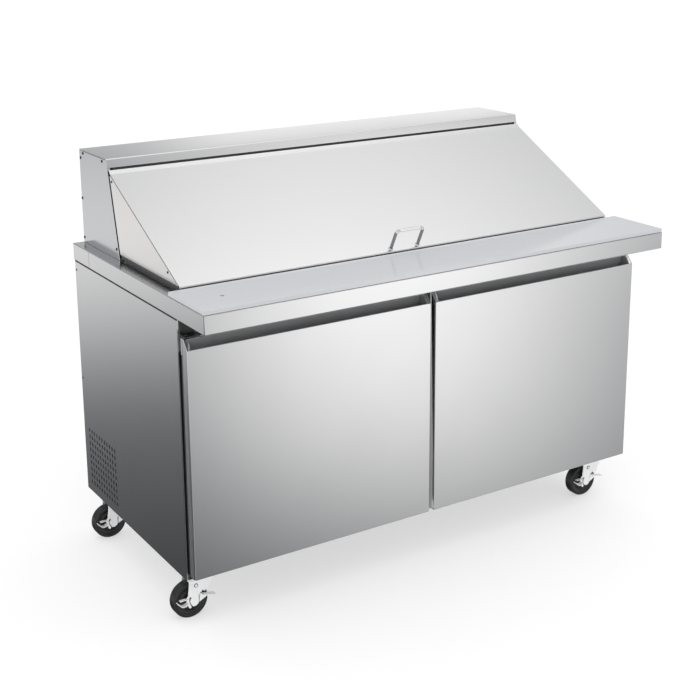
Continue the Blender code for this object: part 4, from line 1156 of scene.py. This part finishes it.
def make_front_frame():
    outline = rectangle(-INSIDE, INSIDE, BASE_TOP + GAP, CAB_TOP - 2 * GAP)
    inner, outer, low, high = 0.046, 0.715, 0.190, 0.774
    boxes = [(*span(way, inner, outer), low, high) for name, way in SIDES]
    openings = [rectangle(*box, 0.006) for box in boxes]
    punched("front_frame_sheet", "Y", outline, openings, CAB_FRONT, CAB_FRONT + 0.020, STEEL_Z,
            ["front_frame"], bevel=0.0006)
    strip = [(0.0002, CAB_FRONT + 0.002), (0.0002, CAB_FRONT + 0.0198), (0.0032, CAB_FRONT + 0.0198),
             (0.0042, CAB_FRONT + 0.004), (0.0030, CAB_FRONT + 0.002)]
    for (name, way), box in zip(SIDES, boxes):
        ring_sweep(f"{name}_opening_strip", box, strip, "Y", BLACK, bevel=0.0006)


def make_back():
    panel = rectangle(-INSIDE, INSIDE, COVER_TOP + GAP, CAB_TOP - 0.0009, 0.001, 2)
    prism("rear_sheet", "Y", panel, CAB_BACK - SHEET, CAB_BACK, STEEL_X, ["rear_panel"], bevel=0.0004)
    face = 0.8565
    slots = []
    louvres = bmesh.new()
    for middle in (-0.36, 0.36):
        for row in range(9):
            z = 0.180 + 0.024 * row
            slots.append(rectangle(middle - 0.12, middle + 0.12, z, z + 0.008, 0.0035, 4))
            scoop = [(face + SHEET - 0.0004, z + 0.0135), (face + 0.0050, z + 0.0110),
                     (face + 0.0068, z + 0.0040), (face + 0.0068, z + 0.0010)]
            scoop = sheet_outline(scoop, 0.0009, 0.004, side=1)
            extrude(louvres, "X", scoop, middle - 0.1215, middle + 0.1215)
            for end in (-0.1222, 0.1214):
                cheek = [(face + SHEET, z + 0.0130), (face + 0.0048, z + 0.0108), (face + 0.0066, z + 0.0040),
                         (face + 0.0066, z + 0.0010), (face + SHEET, z + 0.0010)]
                extrude(louvres, "X", cheek, middle + end, middle + end + 0.0009)
    cover = rectangle(-INSIDE, INSIDE, BASE_TOP + GAP, COVER_TOP - GAP, 0.001, 2)
    gland_x, gland_z = 0.60, 0.28
    gland = arc(gland_x, gland_z, 0.0085, 0, 345, 24)
    punched("machine_cover_sheet", "Y", cover, [*slots, gland], face, face + SHEET, STEEL_X,
            ["rear_machine_cover"])
    from_bmesh("machine_cover_louvres", louvres, STEEL_X, angle=40)
    spots = [(x, face + SHEET, z) for x in (-0.74, -0.55, -0.18, 0.0, 0.18, 0.55, 0.74) for z in (0.145, 0.406)]
    screws("machine_cover_screws", spots, "Y", 1, ZINC, slot="brushed_stainless")
    spots = [(x, CAB_BACK - 0.0018, z) for x in (-0.74, -0.37, 0.0, 0.37, 0.74)
             for z in (0.435, 0.640, 0.842)]
    screws("rear_sheet_screws", spots, "Y", 1, ZINC, slot="brushed_stainless", tall=0.0017)
    profile = [(0, 0.0066), (0.0040, 0.0068), (0.0062, 0.0066), (0.0072, 0.0060), (0.0088, 0.0058),
               (0.0118, 0.0055), (0.0125, 0.0048), (0.0125, 0.0016), (0.0080, 0.0016), (0.0080, -0.0060),
               (0, -0.0060)]
    turned("power_gland_body", profile, (gland_x, face, gland_z), "Y", BLACK, ["power_gland"], steps=40,
           angle=40)


def make_inside():
    front, back_y = 0.1833, 0.8625
    hollow = 0.722
    base, top = BASE_TOP + GAP, CAB_TOP - 2 * GAP
    step = 0.600
    outer = [(front, base), (step, base), (step, COVER_TOP), (back_y, COVER_TOP), (back_y, top)]
    wall = [(0.8225, top), (0.8225, 0.455), (0.565, 0.455), (0.565, 0.175), (front, 0.175)]
    rounded = [tuple(p) for p in fillet(wall, 0.018, 6)]
    work = bmesh.new()
    extrude(work, "X", [*outer, *rounded], -hollow, hollow)
    side = [*outer, (front, top)]
    for way in (-1, 1):
        extrude(work, "X", side, *span(way, hollow, INSIDE))
    from_bmesh("cabinet_lining", work, LINER, ["insulated_liner"], angle=40)

    posts = bmesh.new()
    clips = bmesh.new()
    for y in (0.240, 0.540):
        for x, wide in ((-0.7212, 0.0024), (0.7188, 0.0024), (-0.0055, 0.011)):
            extrude(posts, "Z", rectangle(x, x + wide, y - 0.008, y + 0.008), 0.1755, 0.770)
        for x, way in ((-0.7186, 1), (0.7186, -1), (-0.0057, -1), (0.0057, 1)):
            off = x + way * 0.0035
            clip = [(x, 0.4440), (off, 0.4440), (off, 0.4585), (x + way * 0.0105, 0.4585)]
            extrude(clips, "Y", sheet_outline(clip, 0.0012, 0.0012, 3), y - 0.007, y + 0.007)
    from_bmesh("shelf_posts", posts, BRIGHT, bevel=0.0004)
    from_bmesh("shelf_clips", clips, BRIGHT, bevel=0.0002, segments=1)
    near, far, count = 0.202, 0.698, 34
    rim_z, wire_z, brace_z = 0.4620, 0.4640, 0.4618
    for hand, way in SIDES:
        wires = bmesh.new()
        low, high = span(way, 0.014, 0.708)
        rim = rectangle(low, high, near, far, 0.012)
        tube(wires, [(x, y, rim_z) for x, y in [*rim, rim[0], rim[1]]], 0.0022, 8)
        for index in range(1, count):
            x = low + (high - low) * index / count
            tube(wires, [(x, near - 0.0005, wire_z), (x, far + 0.0005, wire_z)], 0.0014, 6)
        for y in (0.300, 0.450, 0.600):
            tube(wires, [(low, y, brace_z), (high, y, brace_z)], 0.0018, 8)
        from_bmesh(f"{hand}_wire_shelf", wires, COATED, [f"{hand}_shelf"], angle=60)


# ---------------------------------------------------------------- pans
PAN_SECTION = (
    # inset of the outer wall, drop below the rim, corner radius
    (0.0006, 0.0030, 0.0070), (0.0006, 0.0006, 0.0070), (0.0018, 0.0000, 0.0075), (0.0095, 0.0000, 0.0130),
    (0.0118, 0.0010, 0.0150), (0.0128, 0.0040, 0.0170), (0.0160, 0.0300, 0.0190), (0.0200, 0.0640, 0.0200),
    (0.0228, 0.0900, 0.0210), (0.0258, 0.0965, 0.0200), (0.0330, 0.0988, 0.0150), (0.0500, 0.0990, 0.0080),
)


def make_pans():
    wide, long, top, sheet = 0.162, 0.176, 0.9096, 0.0008
    for name, front in (("front", 0.2395), ("middle", 0.4160), ("rear", 0.5925)):
        work = bmesh.new()
        for index in range(8):
            x = (index - 4) * wide
            box = (x, x + wide, front, front + long)
            shells = []
            # The outer skin, then the inner one, which meets it at the rim.
            for thick, rim in ((0.0, top - sheet), (sheet, top + 0.0004)):
                shell = []
                for inset, drop, radius in PAN_SECTION:
                    loop = inset_box(box, inset + thick * min(1.0, drop / 0.01), radius)
                    shell.append([work.verts.new(place(u, v, rim - drop)) for u, v in loop])
                for one, two in zip(shell, shell[1:]):
                    bridge(work, one, two)
                work.faces.new(shell[-1])
                shells.append(shell)
            bridge(work, shells[0][0], shells[1][0])
        from_bmesh(f"sixth_pans_{name}", work, BRIGHT, [f"pans_{name}_row"], angle=50)
    bars = bmesh.new()
    for y in (0.4158, 0.5923):
        line = [(y - 0.0100, TOP_Z - 0.0140), (y - 0.0100, TOP_Z + 0.0002), (y + 0.0100, TOP_Z + 0.0002),
                (y + 0.0100, TOP_Z - 0.0140)]
        extrude(bars, "X", sheet_outline(line, 0.0010, 0.0020), -WELL_X + 0.0015, WELL_X - 0.0015)
    from_bmesh("pan_divider_bars", bars, STEEL_X, slot="bright_stainless", angle=40)
    # The curb's grey stands in for the shaded collar under the lid: painted shade.
    collar = [(0.0, TOP_Z + GAP), (0.0, 0.9235), (0.0012, 0.9247), (0.0155, 0.9247), (0.0175, 0.9230),
              (0.0180, 0.9200), (0.0180, TOP_Z + GAP)]
    ring_sweep("pan_well_curb", (-0.718, 0.718, 0.219, 0.790), collar, "Z", CURB_SHADE, ["pan_well_collar"],
               bevel=0.0006)


# ---------------------------------------------------------------- refrigeration
def make_fan(name, centre, radius, axis, body, node):
    """A moulded rotor: a domed hub and four twisted, swept blades, in one piece."""
    work = bmesh.new()
    lathe(work, [(0, -0.011), (0.0150, -0.011), (0.0175, -0.0085), (0.0180, 0.0085), (0.0150, 0.0108),
                 (0, 0.0115)], centre, axis, 32)
    put = AXES[axis]
    mid_u, mid_v, middle = across(axis, centre)
    blades, cells, deepest = 4, 6, 0.0195

    def blade_point(start, i, j, offset):
        """Row i from hub to tip, column j from edge to edge."""
        out, t = i / cells, 2 * j / cells - 1
        r = 0.0165 + (radius - 0.0185) * out
        pitch = math.radians(38 - 16 * out)
        half = 0.012 + 0.014 * math.sin(math.pi * (0.15 + 0.7 * out))
        along = half * t * math.sin(pitch) + 0.004 * (1 - t * t) + offset
        along = max(-deepest, min(deepest, along))
        angle = start + half * t * math.cos(pitch) / r * min(1.0, r / 0.04) + 0.10 * out
        return put(mid_u + r * math.cos(angle), mid_v + r * math.sin(angle), middle + along)

    steps = range(cells + 1)
    rim = [(i, 0) for i in steps] + [(cells, j) for j in steps[1:]]
    rim += [(cells - i, cells) for i in steps[1:]] + [(0, cells - j) for j in steps[1:-1]]
    for start in circle(blades):
        sheets = []
        for offset in (-0.0007, 0.0007):
            grid = [[work.verts.new(blade_point(start, i, j, offset)) for j in steps] for i in steps]
            quads(work, grid)
            sheets.append(grid)
        bridge(work, *[[grid[i][j] for i, j in rim] for grid in sheets])
    from_bmesh(name, work, BLACK, [node], body=body, angle=40)


def make_evaporator():
    low, high = (-0.260, 0.728, 0.500), (0.260, 0.8210, 0.770)
    centre = (0, 0.635)
    outline = rectangle(low[0], high[0], low[2], high[2], 0.006, 4)
    vents = [stadium(x, centre[1], 0.004, 0.070) for x in (-0.125, -0.145, -0.165, 0.125, 0.145)]
    punched("blower_front_sheet", "Y", outline, [arc(*centre, 0.088, 0, 354, 60), *vents], low[1],
            low[1] + 0.002, STEEL_X, ["evaporator_cover"], bevel=0.0005)
    ring = [(0.0, low[1] + 0.0021), (0.0, high[1]), (0.002, high[1]), (0.002, low[1] + 0.0021)]
    box = (low[0] + 0.0003, high[0] - 0.0003, low[2] + 0.0003, high[2] - 0.0003)
    ring_sweep("blower_box_sheet", box, ring, "Y", STEEL_X, bevel=0.0008)
    guard = bmesh.new()
    face = low[1] - 0.0016
    for radius in (0.020, 0.036, 0.052, 0.068, 0.084, 0.094):
        points = [(centre[0] + u, face, centre[1] + v) for u, v in arc(0, 0, radius, 0, 366, 62)]
        tube(guard, points, 0.0011, 6)
    for turn in (45, 135, 225, 315):
        a = math.radians(turn)
        ends = [(r * math.cos(a), face - 0.0016, centre[1] + r * math.sin(a)) for r in (0.018, 0.101)]
        tube(guard, ends, 0.0013, 8)
    from_bmesh("blower_guard", guard, COATED, angle=60)
    spots = [(x, low[1], z) for x in (-0.245, 0.245) for z in (0.515, 0.755)]
    screws("blower_screws", spots, "Y", -1, ZINC, slot="brushed_stainless")

    face = low[1] - GAP
    knob_x, knob_z = 0.190, 0.560
    knob = bmesh.new()
    lathe(knob, [(0, 0), (0.0200, 0), (0.0200, -0.0018), (0.0186, -0.0028), (0.0172, -0.0032),
                 (0.0166, -0.0135), (0.0152, -0.0156), (0.0120, -0.0160), (0, -0.0152)],
          (knob_x, face, knob_z), "Y", 48)
    for a in circle(18):
        ridge = arc(knob_x + 0.0168 * math.cos(a), knob_z + 0.0168 * math.sin(a), 0.0011, 0, 300, 6)
        extrude(knob, "Y", ridge, face - 0.0132, face - 0.0034)
    grip = rectangle(knob_x - 0.002, knob_x + 0.002, 0.5465, 0.5752, 0.0012, 3)
    extrude(knob, "Y", grip, face - 0.0175, face - 0.0120)
    from_bmesh("thermostat_knob_body", knob, BLACK, ["thermostat_knob"], body="thermostat", angle=40)
    line = bmesh.new()
    extrude(line, "Y", rectangle(0.1894, 0.1906, 0.5660, 0.5748), face - 0.0178, face - 0.0174)
    from_bmesh("thermostat_pointer_line", line, COATED, body="thermostat")
    ticks = bmesh.new()
    for index in range(10):
        turn = math.radians(90 - 30 * index)
        c, s = math.cos(turn), math.sin(turn)
        inner, outer, half = 0.0225, 0.0262 if index % 3 else 0.0285, 0.0006
        corners = [(knob_x + r * c - w * s, knob_z + r * s + w * c)
                   for r, w in rectangle(inner, outer, -half, half)]
        extrude(ticks, "Y", corners, low[1] - 0.0002, low[1] + 0.0001)
    from_bmesh("thermostat_dial_ticks", ticks, BLACK)


def make_machine():
    base = BASE_TOP + GAP
    x, y = -0.43, 0.735
    shell = [(0, 0.190), (0.018, 0.189), (0.040, 0.184), (0.058, 0.174), (0.068, 0.160), (0.074, 0.142),
             (0.076, 0.122), (0.076, 0.096), (0.0785, 0.0945), (0.080, 0.0920), (0.080, 0.0850),
             (0.0785, 0.0825), (0.076, 0.0805), (0.0752, 0.050), (0.072, 0.030), (0.064, 0.019),
             (0.052, 0.0135), (0, 0.0135)]
    pump = bmesh.new()
    lathe(pump, [(r, base + h) for r, h in shell], (x, y, 0), "Z", 64)
    for turn in (45, 135, 225, 315):
        a = math.radians(turn)
        foot = (x + 0.062 * math.cos(a), y + 0.062 * math.sin(a), 0)
        lathe(pump, [(0, base), (0.011, base), (0.012, base + 0.004), (0.009, base + 0.012),
                     (0.010, base + 0.018), (0, base + 0.018)], foot, "Z", 20)
    extrude(pump, "Z", rectangle(x - 0.022, x + 0.022, y - 0.092, y - 0.070, 0.004, 3), base + 0.060,
            base + 0.110)
    from_bmesh("compressor_shell", pump, ENAMEL, ["compressor"], bevel=0.0005, angle=40)
    pipes = bmesh.new()
    for z, start, far in ((0.150, 30, 0.16), (0.100, -20, 0.20)):
        a = math.radians(start)
        points = [(x + r * math.cos(a), y + r * math.sin(a), base + z) for r in (0.070, 0.100)]
        points += [(x + far, y + 0.050, base + z + 0.03), (x + far + 0.02, y + 0.060, base + z + 0.09)]
        tube(pipes, fillet([Vector(p) for p in points], 0.02, 6), 0.0038, 12)
    from_bmesh("suction_pipes", pipes, COPPER, angle=60)

    coil = bmesh.new()
    low, high = (-0.735, 0.635, base), (-0.695, 0.840, base + 0.215)
    fins, margin = 58, 0.008
    pitch = (high[1] - low[1] - 2 * margin) / (fins - 1)
    for index in range(fins):
        at = low[1] + margin + pitch * index
        fin = rectangle(low[0] + 0.002, high[0] - 0.002, at - 0.00018, at + 0.00018)
        extrude(coil, "Z", fin, low[2] + 0.003, high[2] - 0.003)
    for at in (low[1] + 0.003, high[1] - 0.003):
        extrude(coil, "Z", rectangle(low[0], high[0], at - 0.0007, at + 0.0007), low[2], high[2])
    from_bmesh("condenser_fins", coil, FINS, ["condenser_coil"], angle=40)
    tubes = bmesh.new()
    for column in (-0.725, -0.705):
        for row in range(8):
            z = base + 0.014 + 0.0267 * row
            tube(tubes, [(column, low[1] + 0.0005, z), (column, high[1] - 0.0005, z)], 0.0042, 10)
    from_bmesh("condenser_tubes", tubes, COPPER, slot="aluminium_fins", angle=60)


make_worktop()
make_board()
make_hood()
make_lid()
for hand, way in SIDES:
    make_door(hand, way)
for end in ("front", "rear"):
    for hand, way in SIDES:
        corner = f"{end}_{hand}"
        spot = (way * CASTER_X, CASTER_Y[end])
        make_caster_plate(corner, *spot)
        make_fork(corner, *spot)
        make_wheel(corner, *spot)
        make_brake(corner, *spot)
make_side_panels()
make_front_frame()
make_back()
make_inside()
make_pans()
make_fan("condenser_rotor", (-0.640, 0.7375, 0.2450), 0.088, "X", "condenser_blower", "condenser_fan")
make_fan("evaporator_rotor", (0, 0.755, 0.635), 0.082, "Y", "evaporator_blower", "evaporator_fan")
make_evaporator()
make_machine()
